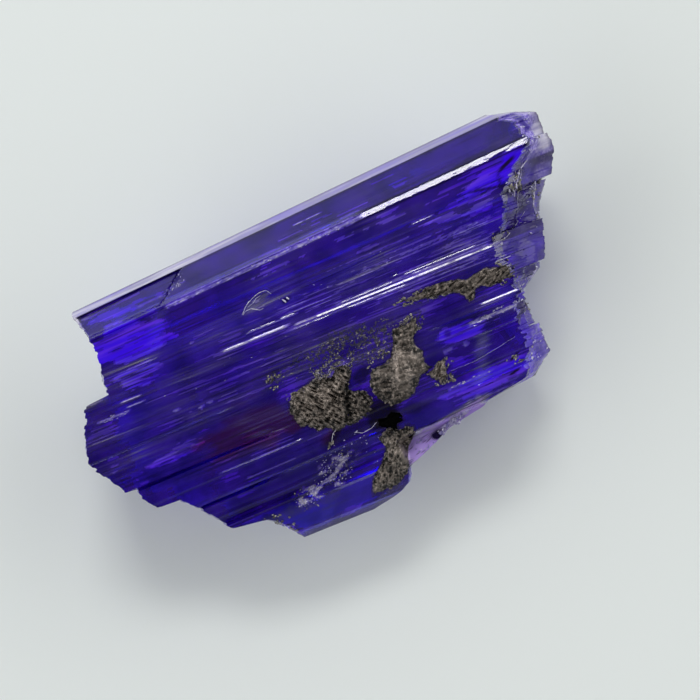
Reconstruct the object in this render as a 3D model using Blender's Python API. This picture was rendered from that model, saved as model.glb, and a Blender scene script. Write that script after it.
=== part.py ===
"""Rough tanzanite: one striated zoisite crystal with patches of graphite on its front face.

The crystal lies on its broad back. +X runs along the striations towards the broken right end,
+Y across them towards the long bevelled edge, and +Z is up, towards the front face.
The origin is the middle of the bottom. Sizes below are in millimetres.
"""

import math

import bmesh
import bpy
import numpy as np

MM = 0.001

# The crystal's outline seen from above, from the long bevelled edge down to the lower edge
LEFT_EDGE = (
    (-6.83, 4.23), (-6.89, 4.13), (-6.85, 3.68), (-6.77, 3.24), (-6.71, 2.93), (-6.83, 2.03),
    (-6.89, 1.56), (-7.61, 1.52), (-7.98, 0.81), (-8.25, -0.07), (-7.92, -0.75), (-7.63, -1.24),
    (-7.33, -1.27), (-7.29, -1.60), (-7.04, -2.04), (-6.33, -2.08), (-5.94, -2.48), (-5.53, -3.10),
    (-5.26, -3.50), (-4.17, -3.67), (-3.55, -4.30), (-3.28, -4.63),
)
RIGHT_EDGE = (
    (6.68, 4.71), (8.10, 4.30), (8.25, 4.15), (8.25, 3.09), (7.81, 2.32), (7.30, 1.73), (6.56, -0.04),
    (5.85, -0.46), (5.85, -2.47), (5.12, -3.00), (3.52, -3.03), (3.31, -3.15), (2.20, -3.31),
    (1.24, -3.70), (0.53, -3.95), (0.38, -4.36), (-0.12, -4.57), (-0.95, -4.70),
)

# Where the front face breaks off into the fracture at the right end
RIGHT_FACE_END = (
    (6.55, 4.66), (7.30, 3.90), (7.27, 3.51), (6.40, 2.70), (6.10, 2.30), (5.60, 1.50), (5.15, 1.08),
    (5.35, 0.20), (5.42, -0.36), (5.20, -0.90), (5.05, -2.00), (4.75, -2.85), (3.40, -3.02),
)

# The grain fans out a little: each line of the grain has a height on the Y axis and its own slope
GRAIN_ROWS = (-4.75, -3.00, -0.70, 1.20, 2.40, 3.40, 4.47)
GRAIN_SLOPES = (-0.030, 0.000, -0.020, -0.029, 0.000, 0.025, 0.0355)
SLOPE_STEPS = 4
TIE_BREAK = 0.001

# Cross-section of the front, facet by facet: line of the grain, height above the resting face
FRONT_PROFILE = (
    (-4.75, 2.66), (-4.50, 2.92), (-3.70, 3.36), (-2.20, 4.03), (-0.72, 4.53), (1.20, 4.93),
    (1.60, 4.975), (2.00, 4.99), (2.38, 4.98), (3.30, 4.86), (3.46, 4.80), (4.24, 4.38), (4.47, 3.98),
)

# Cross-section of the back, which is flat where the crystal rests
BACK_PROFILE = (
    (-4.75, 2.40), (-4.20, 1.72), (-3.20, 0.95), (-2.50, 0.00), (2.30, 0.00), (3.20, 1.30),
    (4.00, 2.90), (4.47, 3.80),
)

# Broken layers of the front: from x, to x, from line, to line, how far the face steps down
FRONT_LEDGES = (
    (-9.0, -3.75, 3.50, 4.20, 0.12),
    (-9.0, -4.35, 1.95, 3.30, 0.07),
    (-9.0, -2.90, -1.42, -0.30, 0.10),
    (-9.0, -2.30, -2.60, -1.42, 0.30),
    (-9.0, 0.70, -3.35, -2.60, 0.22),
    (2.75, 9.0, -3.40, -0.42, 0.30),
    (3.30, 9.0, -2.45, -1.10, 0.10),
    (-2.60, 0.90, -4.80, -3.72, 0.18),
)
LEDGE_RUN = 0.40
LEDGE_RISE = 0.07

# Broken layers of the back, as above, with the step going up into the crystal
BACK_LEDGES = (
    (-9.0, -4.70, -2.70, 2.50, 0.30),
    (4.40, 9.0, -2.70, 2.50, 0.42),
    (-4.70, 4.40, 1.30, 2.50, 0.16),
    (-1.20, 3.60, -2.70, -1.85, 0.22),
)

# The thin plates left standing at the lower right, where thicker material broke away
PLATE_LEFT = 0.62
PLATE_TOP_LINE = -3.03
PLATE_FRONT = 3.20
PLATE_BACK = 2.55
PLATE_STEP_ALONG = 0.20
PLATE_STEP_ACROSS = 0.06

# Growth ridges that run the whole length of the front: line of the grain and height
RIDGES = (
    (2.22, 0.035), (1.78, 0.030), (1.38, 0.045), (1.02, 0.050), (0.62, 0.035), (0.10, 0.040),
    (-0.48, 0.035), (-1.05, 0.045), (-1.95, 0.050), (-3.05, 0.045),
)
RIDGE_HALF_WIDTH = 0.07

# Scoops of the fracture at the right end: y, z, radius, depth
RIGHT_SCOOPS = (
    (3.75, 3.20, 0.95, 0.42), (2.85, 4.05, 0.75, 0.45), (2.30, 2.35, 0.95, 0.38), (1.35, 3.55, 0.80, 0.50),
    (0.55, 4.35, 0.60, 0.30), (0.40, 2.10, 1.00, 0.45), (-0.45, 3.40, 0.70, 0.40), (-1.45, 3.60, 0.80, 0.42),
    (-1.20, 1.60, 1.10, 0.40), (-2.35, 2.70, 0.75, 0.34),
)

# Scoops of the broken left end
LEFT_SCOOPS = (
    (3.55, 3.50, 0.70, 0.26), (2.40, 2.70, 0.80, 0.32), (2.60, 4.40, 0.50, 0.20), (0.90, 3.60, 0.70, 0.30),
    (0.40, 1.60, 0.90, 0.34), (-0.55, 3.00, 0.80, 0.32), (-1.70, 2.90, 0.65, 0.26), (-1.50, 1.20, 0.70, 0.24),
)

# The crystal is a bundle of blades that end one by one. For the blades above each line of the grain:
# the widest level as a share of the way down and the inset of the back, at the right and at the left
END_BLADES = (
    (3.36, 0.62, 0.50, 0.46, 0.60),
    (2.38, 0.38, 1.00, 0.70, 0.95),
    (1.45, 0.58, 0.55, 0.34, 1.30),
    (0.30, 0.32, 1.20, 0.52, 0.65),
    (-0.45, 0.55, 0.70, 0.36, 1.05),
    (-1.45, 0.70, 0.40, 0.62, 0.50),
    (-2.52, 0.42, 0.95, 0.40, 0.90),
    (-9.00, 0.55, 0.60, 0.58, 0.55),
)
LEFT_FACE_INSET = 0.16
RIGHT_FACE_INSET = 0.08
THIN_EDGE = 1.2
RIM_WIDTH = 0.16
UPPER_BULGE = 0.8
LOWER_BULGE = 1.4

# Points along each line of the grain, and how close and how far apart the lines may be
FRONT_POINTS = 42
BACK_POINTS = 16
WALL_POINTS = 7
CLOSEST_LINES = 0.055
LINE_SPACING = 0.30
WIDEST_FROM = 6.8

# Graphite patches: centre, outline as angle and radius, height above the face, depth below it
GRAPHITE = {
    "graphite_crust_left": dict(
        centre=(-0.72, -1.20), rise=0.16, depth=0.26,
        outline=((0, 0.98), (35, 0.72), (62, 0.86), (95, 0.60), (130, 0.72), (160, 1.15), (185, 1.30),
                 (215, 0.92), (240, 0.98), (275, 0.66), (310, 0.78), (338, 0.74)),
    ),
    "graphite_crust_middle": dict(
        centre=(1.27, -1.20), rise=0.20, depth=0.30,
        outline=((0, 0.74), (30, 0.66), (58, 1.12), (80, 0.86), (110, 0.60), (150, 0.66), (178, 0.82),
                 (215, 0.80), (250, 0.96), (285, 0.72), (320, 0.74)),
    ),
    "graphite_crust_lower": dict(
        centre=(0.18, -3.42), rise=0.14, depth=0.24,
        outline=((0, 0.52), (30, 0.78), (52, 1.02), (75, 0.62), (110, 0.44), (150, 0.42), (190, 0.56),
                 (218, 0.86), (238, 1.10), (262, 0.70), (300, 0.46), (335, 0.44)),
    ),
    "graphite_streak_upper": dict(
        centre=(3.95, 0.36), rise=0.10, depth=0.18,
        outline=((0, 1.18), (7, 0.92), (25, 0.42), (60, 0.22), (110, 0.18), (150, 0.34), (170, 1.00),
                 (178, 1.42), (186, 0.96), (215, 0.30), (260, 0.19), (310, 0.24), (340, 0.50), (353, 0.98)),
    ),
    "graphite_patch_right": dict(
        centre=(2.60, -1.62), rise=0.12, depth=0.20,
        outline=((0, 0.22), (45, 0.34), (75, 0.52), (110, 0.26), (165, 0.20), (215, 0.34), (250, 0.46),
                 (290, 0.26)),
    ),
}
GRAPHITE_GAP = 0.06
GRAPHITE_RINGS = (0.45, 0.82)
GRAPHITE_SPOKES = 22
LUMP_SHARE = 0.25
LUMP_WAVES = (5.0, 3.0, 2.0, 4.0)
DOME_POWER = 2.5
BOWL_POWER = 3.0


def clear_scene():
    for obj in list(bpy.data.objects):
        bpy.data.objects.remove(obj, do_unlink=True)


def smooth(value, low, high):
    """Rises smoothly from 0 at low to 1 at high."""
    share = np.clip((value - low) / (high - low), 0.0, 1.0)
    return share * share * (3.0 - 2.0 * share)


def grain_slope(line):
    return np.interp(line, GRAIN_ROWS, GRAIN_SLOPES)


def line_through(x, y):
    """The line of the grain that passes through a point."""
    line = np.asarray(y, dtype=float)
    for _ in range(SLOPE_STEPS):
        line = y - grain_slope(line) * x
    return line


def edge_at(points, line):
    """Where an edge of the outline, given from top to bottom, meets a line of the grain."""
    x = np.array([point[0] for point in points])
    y = np.array([point[1] for point in points])
    lines = np.minimum.accumulate(line_through(x, y)) - TIE_BREAK * np.arange(len(points))
    return np.interp(line, lines[::-1], x[::-1])


def ledge_depth(ledges, x, line):
    """How far the broken layers lower the face at a point."""
    depth = 0.0
    for x_from, x_to, line_from, line_to, drop in ledges:
        along = smooth(x, x_from, x_from + LEDGE_RUN) * (1.0 - smooth(x, x_to - LEDGE_RUN, x_to))
        lower = smooth(line, line_from - LEDGE_RISE, line_from)
        upper = 1.0 - smooth(line, line_to, line_to + LEDGE_RISE)
        depth = depth + drop * along * lower * upper
    return depth


def plate_mask(x, line):
    """One on the thin plates at the lower right, zero elsewhere."""
    along = smooth(x, PLATE_LEFT - PLATE_STEP_ALONG, PLATE_LEFT)
    across = 1.0 - smooth(line, PLATE_TOP_LINE - PLATE_STEP_ACROSS, PLATE_TOP_LINE)
    return along * across


def front_height(x, line):
    """Height of the front face: facets across, broken layers, growth ridges and the thin plates."""
    rows, heights = zip(*FRONT_PROFILE)
    z = np.interp(line, rows, heights) - ledge_depth(FRONT_LEDGES, x, line)
    for ridge_line, height in RIDGES:
        z = z + height * np.clip(1.0 - np.abs(line - ridge_line) / RIDGE_HALF_WIDTH, 0.0, 1.0)
    plates = plate_mask(x, line)
    return z * (1.0 - plates) + PLATE_FRONT * plates


def back_height(x, line):
    """Height of the back: flat facets, with broken layers and the underside of the thin plates."""
    rows, heights = zip(*BACK_PROFILE)
    z = np.interp(line, rows, heights) + ledge_depth(BACK_LEDGES, x, line)
    plates = plate_mask(x, line)
    return z * (1.0 - plates) + np.maximum(z, PLATE_BACK) * plates


def scoop_depth(scoops, y, z):
    """Depth of a shell-shaped fracture: the deepest of several round scoops, with sharp ridges between."""
    depth = np.zeros_like(y)
    for scoop_y, scoop_z, radius, deep in scoops:
        square = ((y - scoop_y) ** 2 + (z - scoop_z) ** 2) / radius ** 2
        depth = np.maximum(depth, deep * (1.0 - square))
    return depth


def end_wall(line, x_front, x_edge, x_back, waist, scoops, outward):
    """Points down one broken end, from the front face by way of the widest level to the back."""
    share = np.linspace(0.0, 1.0, WALL_POINTS + 2)[1:-1]
    share[np.argmin(np.abs(share - waist))] = waist
    upper = np.clip(share / waist, 0.0, 1.0) ** UPPER_BULGE
    lower = np.clip((share - waist) / (1.0 - waist), 0.0, 1.0) ** LOWER_BULGE
    x = x_front + (x_edge - x_front) * upper + (x_back - x_edge) * lower
    z_front = front_height(x_front, line)
    z_back = back_height(x_back, line)
    z = z_front + (z_back - z_front) * share
    y = line + grain_slope(line) * x
    fullness = min(1.0, (z_front - z_back) / THIN_EDGE) * np.sin(math.pi * share) ** 0.5
    off_rim = 1.0 - np.exp(-((share - waist) / RIM_WIDTH) ** 2)
    return x - outward * scoop_depth(scoops, y, z) * fullness * off_rim, z


def ring_at(line):
    """One closed ring of points round the crystal, in the upright plane of one line of the grain."""
    left = edge_at(LEFT_EDGE, line)
    right = edge_at(RIGHT_EDGE, line)
    middle = 0.5 * (left + right)
    fullness = min(1.0, float(front_height(middle, line) - back_height(middle, line)) / THIN_EDGE)
    blade = next(blade for blade in END_BLADES if line >= blade[0])
    _, right_waist, right_inset, left_waist, left_inset = blade
    face_left = left + LEFT_FACE_INSET * fullness
    face_right = right - max(RIGHT_FACE_INSET, right - edge_at(RIGHT_FACE_END, line)) * fullness
    back_left = left + left_inset * fullness
    back_right = right - right_inset * fullness
    share = np.linspace(0.0, 1.0, FRONT_POINTS)
    front_x = face_left + (face_right - face_left) * share
    back_share = np.linspace(1.0, 0.0, BACK_POINTS)
    back_x = back_left + (back_right - back_left) * back_share
    right_x, right_z = end_wall(line, face_right, right, back_right, right_waist, RIGHT_SCOOPS, 1.0)
    left_x, left_z = end_wall(line, face_left, left, back_left, left_waist, LEFT_SCOOPS, -1.0)
    x = np.concatenate((front_x, right_x, back_x, left_x[::-1]))
    z = np.concatenate((front_height(front_x, line), right_z, back_height(back_x, line), left_z[::-1]))
    y = line + grain_slope(line) * x
    return np.stack((x, y, z), axis=1) * MM


def grain_lines():
    """Lines of the grain that carry a ring: facet edges first, then steps, blades, ridges and fillers."""
    low, high = FRONT_PROFILE[0][0], FRONT_PROFILE[-1][0]
    wanted = [row for row, _ in FRONT_PROFILE] + [PLATE_TOP_LINE - PLATE_STEP_ACROSS, PLATE_TOP_LINE]
    wanted += [float(line_through(x, y)) for x, y in LEFT_EDGE + RIGHT_EDGE if abs(x) > WIDEST_FROM]
    for _, _, line_from, line_to, _ in FRONT_LEDGES:
        wanted += [line_from - LEDGE_RISE, line_from, line_to, line_to + LEDGE_RISE]
    wanted += [row for row, _ in BACK_PROFILE] + [row for row, _ in RIDGES]
    for blade in END_BLADES:
        wanted += [blade[0], blade[0] - CLOSEST_LINES]
    for _, _, line_from, line_to, _ in BACK_LEDGES:
        wanted += [line_from - LEDGE_RISE, line_from, line_to, line_to + LEDGE_RISE]
    kept = []
    for row in wanted:
        if low <= row <= high and all(abs(row - other) >= CLOSEST_LINES for other in kept):
            kept.append(row)
    kept.sort()
    lines = [low]
    for start, end in zip(kept, kept[1:]):
        steps = math.ceil((end - start) / LINE_SPACING)
        lines += [start + (end - start) * (step + 1) / steps for step in range(steps)]
    return lines


def make_material(name, color, roughness, metallic, transmission=0.0):
    material = bpy.data.materials.new(name)
    material.use_nodes = True
    shader = material.node_tree.nodes["Principled BSDF"]
    shader.inputs["Base Color"].default_value = (*color, 1.0)
    shader.inputs["Roughness"].default_value = roughness
    shader.inputs["Metallic"].default_value = metallic
    shader.inputs["Transmission Weight"].default_value = transmission
    material.diffuse_color = (*color, 1.0)
    return material


def make_object(name, bm, material):
    mesh = bpy.data.meshes.new(name)
    bm.to_mesh(mesh)
    bm.free()
    mesh.materials.append(material)
    obj = bpy.data.objects.new(name, mesh)
    bpy.context.scene.collection.objects.link(obj)
    return obj


def close_edge(bm, ring):
    """Closes the thin outermost ring with a zigzag of triangles between its front and its back."""
    front = ring[:FRONT_POINTS]
    back = ring[:FRONT_POINTS - 1:-1]
    i = 0
    j = 0
    while i < len(front) - 1 or j < len(back) - 1:
        front_next = front[min(i + 1, len(front) - 1)].co.x
        back_next = back[min(j + 1, len(back) - 1)].co.x
        if j == len(back) - 1 or (i < len(front) - 1 and front_next <= back_next):
            bm.faces.new((front[i], front[i + 1], back[j]))
            i += 1
        else:
            bm.faces.new((front[i], back[j + 1], back[j]))
            j += 1


def make_crystal(material):
    """The crystal: rings of points, one for each line of the grain, skinned and closed at both edges."""
    bm = bmesh.new()
    rings = [[bm.verts.new(point) for point in ring_at(line)] for line in grain_lines()]
    count = len(rings[0])
    for ring, following in zip(rings, rings[1:]):
        for i in range(count):
            j = (i + 1) % count
            bm.faces.new((ring[i], ring[j], following[j], following[i]))
    close_edge(bm, rings[0])
    close_edge(bm, rings[-1])
    bmesh.ops.triangulate(bm, faces=bm.faces[:])
    bmesh.ops.recalc_face_normals(bm, faces=bm.faces[:])
    return make_object("tanzanite_crystal", bm, material)


def outline_radius(outline, angle):
    """Radius of a patch at an angle in degrees, read along its outline."""
    angles = [point[0] for point in outline] + [360]
    radii = [point[1] for point in outline] + [outline[0][1]]
    return np.interp(angle % 360, angles, radii)


def patch_mesh(patch, gap):
    """A lens that follows the crystal's face: domed above it and sunk below it, grown by the gap."""
    bm = bmesh.new()
    centre_x, centre_y = patch["centre"]
    angles = np.arange(GRAPHITE_SPOKES) * 360.0 / GRAPHITE_SPOKES

    def point(share, angle, level):
        radius = (outline_radius(patch["outline"], angle) + gap) * share
        x = centre_x + radius * math.cos(math.radians(angle))
        y = centre_y + radius * math.sin(math.radians(angle))
        face = float(front_height(x, line_through(x, y)))
        wave_a, wave_b, wave_c, wave_d = LUMP_WAVES
        lumps = 1.0 + LUMP_SHARE * math.sin(wave_a * x + wave_b * y) * math.sin(wave_d * y - wave_c * x)
        dome = (patch["rise"] * lumps + gap) * (1.0 - share ** DOME_POWER)
        bowl = -(patch["depth"] + gap) * (1.0 - share ** BOWL_POWER)
        return bm.verts.new((x * MM, y * MM, (face + (dome if level > 0 else bowl)) * MM))

    rim = [point(1.0, angle, 1) for angle in angles]
    for level in (1, -1):
        centre = point(0.0, 0.0, level)
        rings = [[point(share, angle, level) for angle in angles] for share in GRAPHITE_RINGS] + [rim]
        for i in range(GRAPHITE_SPOKES):
            j = (i + 1) % GRAPHITE_SPOKES
            bm.faces.new((centre, rings[0][i], rings[0][j]))
            for inner, outer in zip(rings, rings[1:]):
                bm.faces.new((inner[i], outer[i], outer[j], inner[j]))
    bmesh.ops.triangulate(bm, faces=bm.faces[:])
    bmesh.ops.recalc_face_normals(bm, faces=bm.faces[:])
    return bm


def seat_patch(crystal, name, patch, material):
    """Adds one graphite patch and cuts its pocket in the crystal."""
    make_object(name, patch_mesh(patch, 0.0), material)
    cutter = make_object(name + "_pocket", patch_mesh(patch, GRAPHITE_GAP), material)
    cutter.hide_render = True
    cutter.display_type = "WIRE"
    cut = crystal.modifiers.new(name + "_pocket", "BOOLEAN")
    cut.operation = "DIFFERENCE"
    cut.object = cutter


def main():
    clear_scene()
    violet = make_material("tanzanite", (0.045, 0.010, 0.36), 0.12, 0.0, transmission=0.8)
    grey = make_material("graphite", (0.10, 0.092, 0.080), 0.48, 0.55)
    crystal = make_crystal(violet)
    for name, patch in GRAPHITE.items():
        seat_patch(crystal, name, patch, grey)


main()
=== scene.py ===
import math

import bpy
import numpy as np
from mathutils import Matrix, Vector


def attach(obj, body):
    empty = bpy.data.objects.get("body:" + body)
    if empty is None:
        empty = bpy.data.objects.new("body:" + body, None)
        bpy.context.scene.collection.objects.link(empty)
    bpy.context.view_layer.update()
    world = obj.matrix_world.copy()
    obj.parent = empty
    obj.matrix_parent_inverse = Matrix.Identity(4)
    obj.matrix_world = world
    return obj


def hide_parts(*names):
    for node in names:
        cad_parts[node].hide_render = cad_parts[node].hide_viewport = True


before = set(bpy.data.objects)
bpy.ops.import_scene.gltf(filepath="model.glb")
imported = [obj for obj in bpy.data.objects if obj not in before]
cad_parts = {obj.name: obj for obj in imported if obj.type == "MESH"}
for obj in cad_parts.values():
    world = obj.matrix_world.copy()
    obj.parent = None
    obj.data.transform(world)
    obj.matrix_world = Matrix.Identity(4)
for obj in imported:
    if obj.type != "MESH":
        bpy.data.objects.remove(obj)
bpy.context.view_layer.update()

mm = 0.001  # sizes below are in millimetres

# the crystal: outline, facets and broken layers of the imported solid, carried on much finer lines
crystal = dict(
    leftEdge=(
        (-6.83, 4.23), (-6.89, 4.13), (-6.85, 3.68), (-6.77, 3.24), (-6.71, 2.93), (-6.83, 2.03),
        (-6.89, 1.56), (-7.61, 1.52), (-7.98, 0.81), (-8.25, -0.07), (-7.92, -0.75), (-7.63, -1.24),
        (-7.33, -1.27), (-7.29, -1.6), (-7.04, -2.04), (-6.33, -2.08), (-5.94, -2.48), (-5.53, -3.1),
        (-5.26, -3.5), (-4.17, -3.67), (-3.55, -4.3), (-3.28, -4.63)),
    rightEdge=(
        (6.68, 4.71), (8.1, 4.3), (8.25, 4.15), (8.25, 3.09), (7.81, 2.32), (7.3, 1.73), (6.56, -0.04),
        (5.85, -0.46), (5.85, -2.47), (5.12, -3.0), (3.52, -3.03), (3.31, -3.15), (2.2, -3.31),
        (1.24, -3.7), (0.53, -3.95), (0.38, -4.36), (-0.12, -4.57), (-0.95, -4.7)),
    rightFaceEnd=(
        (6.55, 4.66), (7.3, 3.9), (7.27, 3.51), (6.4, 2.7), (6.1, 2.3), (5.6, 1.5), (5.15, 1.08),
        (5.35, 0.2), (5.42, -0.36), (5.2, -0.9), (5.05, -2.0), (4.75, -2.85), (3.4, -3.02)),
    grainRows=(-4.75, -3.0, -0.7, 1.2, 2.4, 3.4, 4.47),
    grainSlopes=(-0.03, 0.0, -0.02, -0.029, 0.0, 0.025, 0.0355),
    frontProfile=(
        (-4.75, 2.66), (-4.5, 2.92), (-3.7, 3.36), (-2.2, 4.03), (-0.72, 4.53), (1.2, 4.93), (1.6, 4.975),
        (2.0, 4.99), (2.38, 4.98), (3.265, 4.864), (3.4, 4.813), (4.24, 4.38), (4.47, 3.98)),
    backProfile=(
        (-4.75, 2.4), (-4.2, 1.72), (-3.2, 0.95), (-2.5, 0.0), (2.3, 0.0), (3.2, 1.3), (4.0, 2.9),
        (4.47, 3.8)),
    # broken layers: from x, to x, from line, to line, drop, lean of the break along x for each mm across,
    # length of the break
    frontLedges=(
        (-9.0, -3.75, 3.5, 4.2, 0.12, 1.2, 0.07), (-9.0, -4.35, 1.95, 3.3, 0.07, 0.5, 0.7),
        (-9.0, -2.9, -1.42, -0.3, 0.1, -0.7, 1.0), (-9.0, -2.3, -2.6, -1.42, 0.3, 0.6, 2.6),
        (-9.0, 0.7, -3.35, -2.6, 0.22, 0.4, 2.0), (2.75, 9.0, -3.4, -0.42, 0.3, -0.35, 2.4),
        (3.3, 9.0, -2.45, -1.1, 0.08, 0.5, 0.8), (-2.6, 0.9, -4.8, -3.72, 0.05, 0.8, 0.6)),
    backLedges=(
        (-9.0, -4.7, -2.7, 2.5, 0.3, 0.2, 0.24), (4.4, 9.0, -2.7, 2.5, 0.42, -0.2, 0.24),
        (-4.7, 4.4, 1.3, 2.5, 0.16, 0.3, 0.24), (-1.2, 3.6, -2.7, -1.85, 0.22, 0.4, 0.24)),
    ledgeRise=0.05,
    # thin plates at the lower right: their place and levels, the steps up to them, how rough
    # they are and how much calmer the strands are there
    plateLeft=0.62, plateTop=-3.03, plateFront=3.2, plateBack=2.55,
    plateStepAlong=0.2, plateStepAcross=0.06, plateRough=0.02, plateCalm=0.7,
    ridges=(
        (2.22, 0.01), (1.78, 0.01), (1.02, 0.012), (0.62, 0.01), (0.1, 0.012), (-0.48, 0.01),
        (-1.05, 0.012), (-1.95, 0.012), (-3.05, 0.01)),
    ridgeHalfWidth=0.07,
    # blades of the broken ends: from this line up; for the right end, then for the left: level of the widest
    # point, how far the back is set in
    endBlades=(
        (3.36, 0.62, 0.5, 0.46, 0.6), (2.38, 0.38, 1.0, 0.7, 0.95), (1.45, 0.58, 0.55, 0.34, 1.3),
        (0.3, 0.32, 1.2, 0.52, 0.65), (-0.45, 0.55, 0.7, 0.36, 1.05), (-1.45, 0.7, 0.4, 0.62, 0.5),
        (-2.52, 0.42, 0.95, 0.4, 0.9), (-9.0, 0.55, 0.6, 0.58, 0.55)),
    # round scoops of the fractures: y, z, radius, depth
    rightScoops=(
        (3.75, 3.2, 0.95, 0.42), (2.85, 4.05, 0.75, 0.45), (2.3, 2.35, 0.95, 0.38),
        (1.35, 3.55, 0.8, 0.5), (0.55, 4.35, 0.6, 0.3), (0.4, 2.1, 1.0, 0.45), (-0.45, 3.4, 0.7, 0.4),
        (-1.45, 3.6, 0.8, 0.42), (-1.2, 1.6, 1.1, 0.4), (-2.35, 2.7, 0.75, 0.34)),
    leftScoops=(
        (3.55, 3.5, 0.7, 0.26), (2.4, 2.7, 0.8, 0.32), (2.6, 4.4, 0.5, 0.2), (0.9, 3.6, 0.7, 0.3),
        (0.4, 1.6, 0.9, 0.34), (-0.55, 3.0, 0.8, 0.32), (-1.7, 2.9, 0.65, 0.26), (-1.5, 1.2, 0.7, 0.24)),
    leftFaceInset=0.16, rightFaceInset=0.08, thinEdge=1.2, rimWidth=0.16, upperBulge=0.8, lowerBulge=1.4,
    stripe=(3.265, 3.4),  # the narrow facet that mirrors the key light
    stripeRough=0.003, stripeSoft=0.02,
    crestHeight=0.024, crestHalfWidth=0.14, crestEnd=(1.9, 2.3),  # a low crest goes on from it to the left
    # spacing of the lines, from the bevelled edge down: as far as this line, this far apart
    lineZones=(
        (4.24, 0.03), (3.4, 0.036), (3.265, 0.02), (2.38, 0.036), (-0.72, 0.023), (-2.2, 0.028),
        (-3.7, 0.036), (-4.75, 0.048)),
    frontPoints=196, rightPoints=33, backPoints=56, leftPoints=17,
    sharpAngle=12.0,
)

# broken edges: blades of uneven length on a slower wave
ragged = dict(blade=0.085, step=0.035, wave=0.05, waveLength=0.4, faceEnd=2.6, ledgeEnd=0.9)

# small roughness of the fracture surfaces: size across, depth
fractureGrain = ((0.42, 0.075), (0.17, 0.035), (0.08, 0.016))

# growth lines: how strongly each part of the front is striated; pitch, reach along and height of the strands
strands = dict(
    rows=(-4.75, -3.7, -2.2, -0.7, 1.2, 2.1, 2.4, 3.24, 3.42, 4.2, 4.47),
    strength=(0.45, 0.6, 0.75, 0.8, 0.6, 0.6, 0.1, 0.05, 0.08, 0.1, 0.1),
    sizes=((0.31, 5.0, 0.012), (0.12, 2.4, 0.006), (0.055, 1.1, 0.0022)),
    riser=1.6, seed=11,
)

# narrow facets that mirror the key light: tilt, fade at the ends, slope behind, gaps; then line,
# width, from x, to x
glints = dict(
    tilt=20.6, fade=0.35, backSlope=1.2, gapLength=0.22, gapDepth=0.5, whole=0.2,
    lines=(
        (1.215, 0.05, -0.2, 5.1), (1.29, 0.05, -3.1, -1.3), (1.125, 0.024, -1.1, 2.4),
        (1.325, 0.024, 0.4, 3.3), (1.4, 0.024, 2.6, 4.7), (1.56, 0.024, -2.2, -0.9),
        (2.57, 0.022, 3.4, 3.85), (3.925, 0.03, 0.24, 0.36), (3.925, 0.03, 0.66, 0.9),
        (0.735, 0.022, -7.2, -6.5), (1.01, 0.02, -6.3, -5.95), (-0.25, 0.024, 4.4, 5.3),
        (-1.89, 0.014, -4.6, -2.2)),
)

# shallow shell-shaped chips: x, y, half length, half width, turn, depth
chips = (
    (-1.7, 2.29, 0.56, 0.2, 16, 0.02), (-3.87, 1.94, 0.2, 0.1, 50, 0.012),
    (-3.6, 3.78, 0.22, 0.14, 30, 0.02), (6.35, 3.35, 0.3, 0.1, 8, 0.012),
    (5.6, 2.62, 0.24, 0.12, -10, 0.01), (-4.6, 0.38, 0.75, 0.16, -14, 0.01),
    (-2.05, 0.09, 0.22, 0.12, 35, 0.03), (4.0, -0.75, 0.35, 0.07, 12, 0.03),
    (-2.6, -3.5, 0.3, 0.16, 10, 0.05), (-1.5, -3.1, 0.4, 0.16, 15, 0.04),
    (2.3, 1.45, 0.22, 0.05, 2, 0.02))

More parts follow.
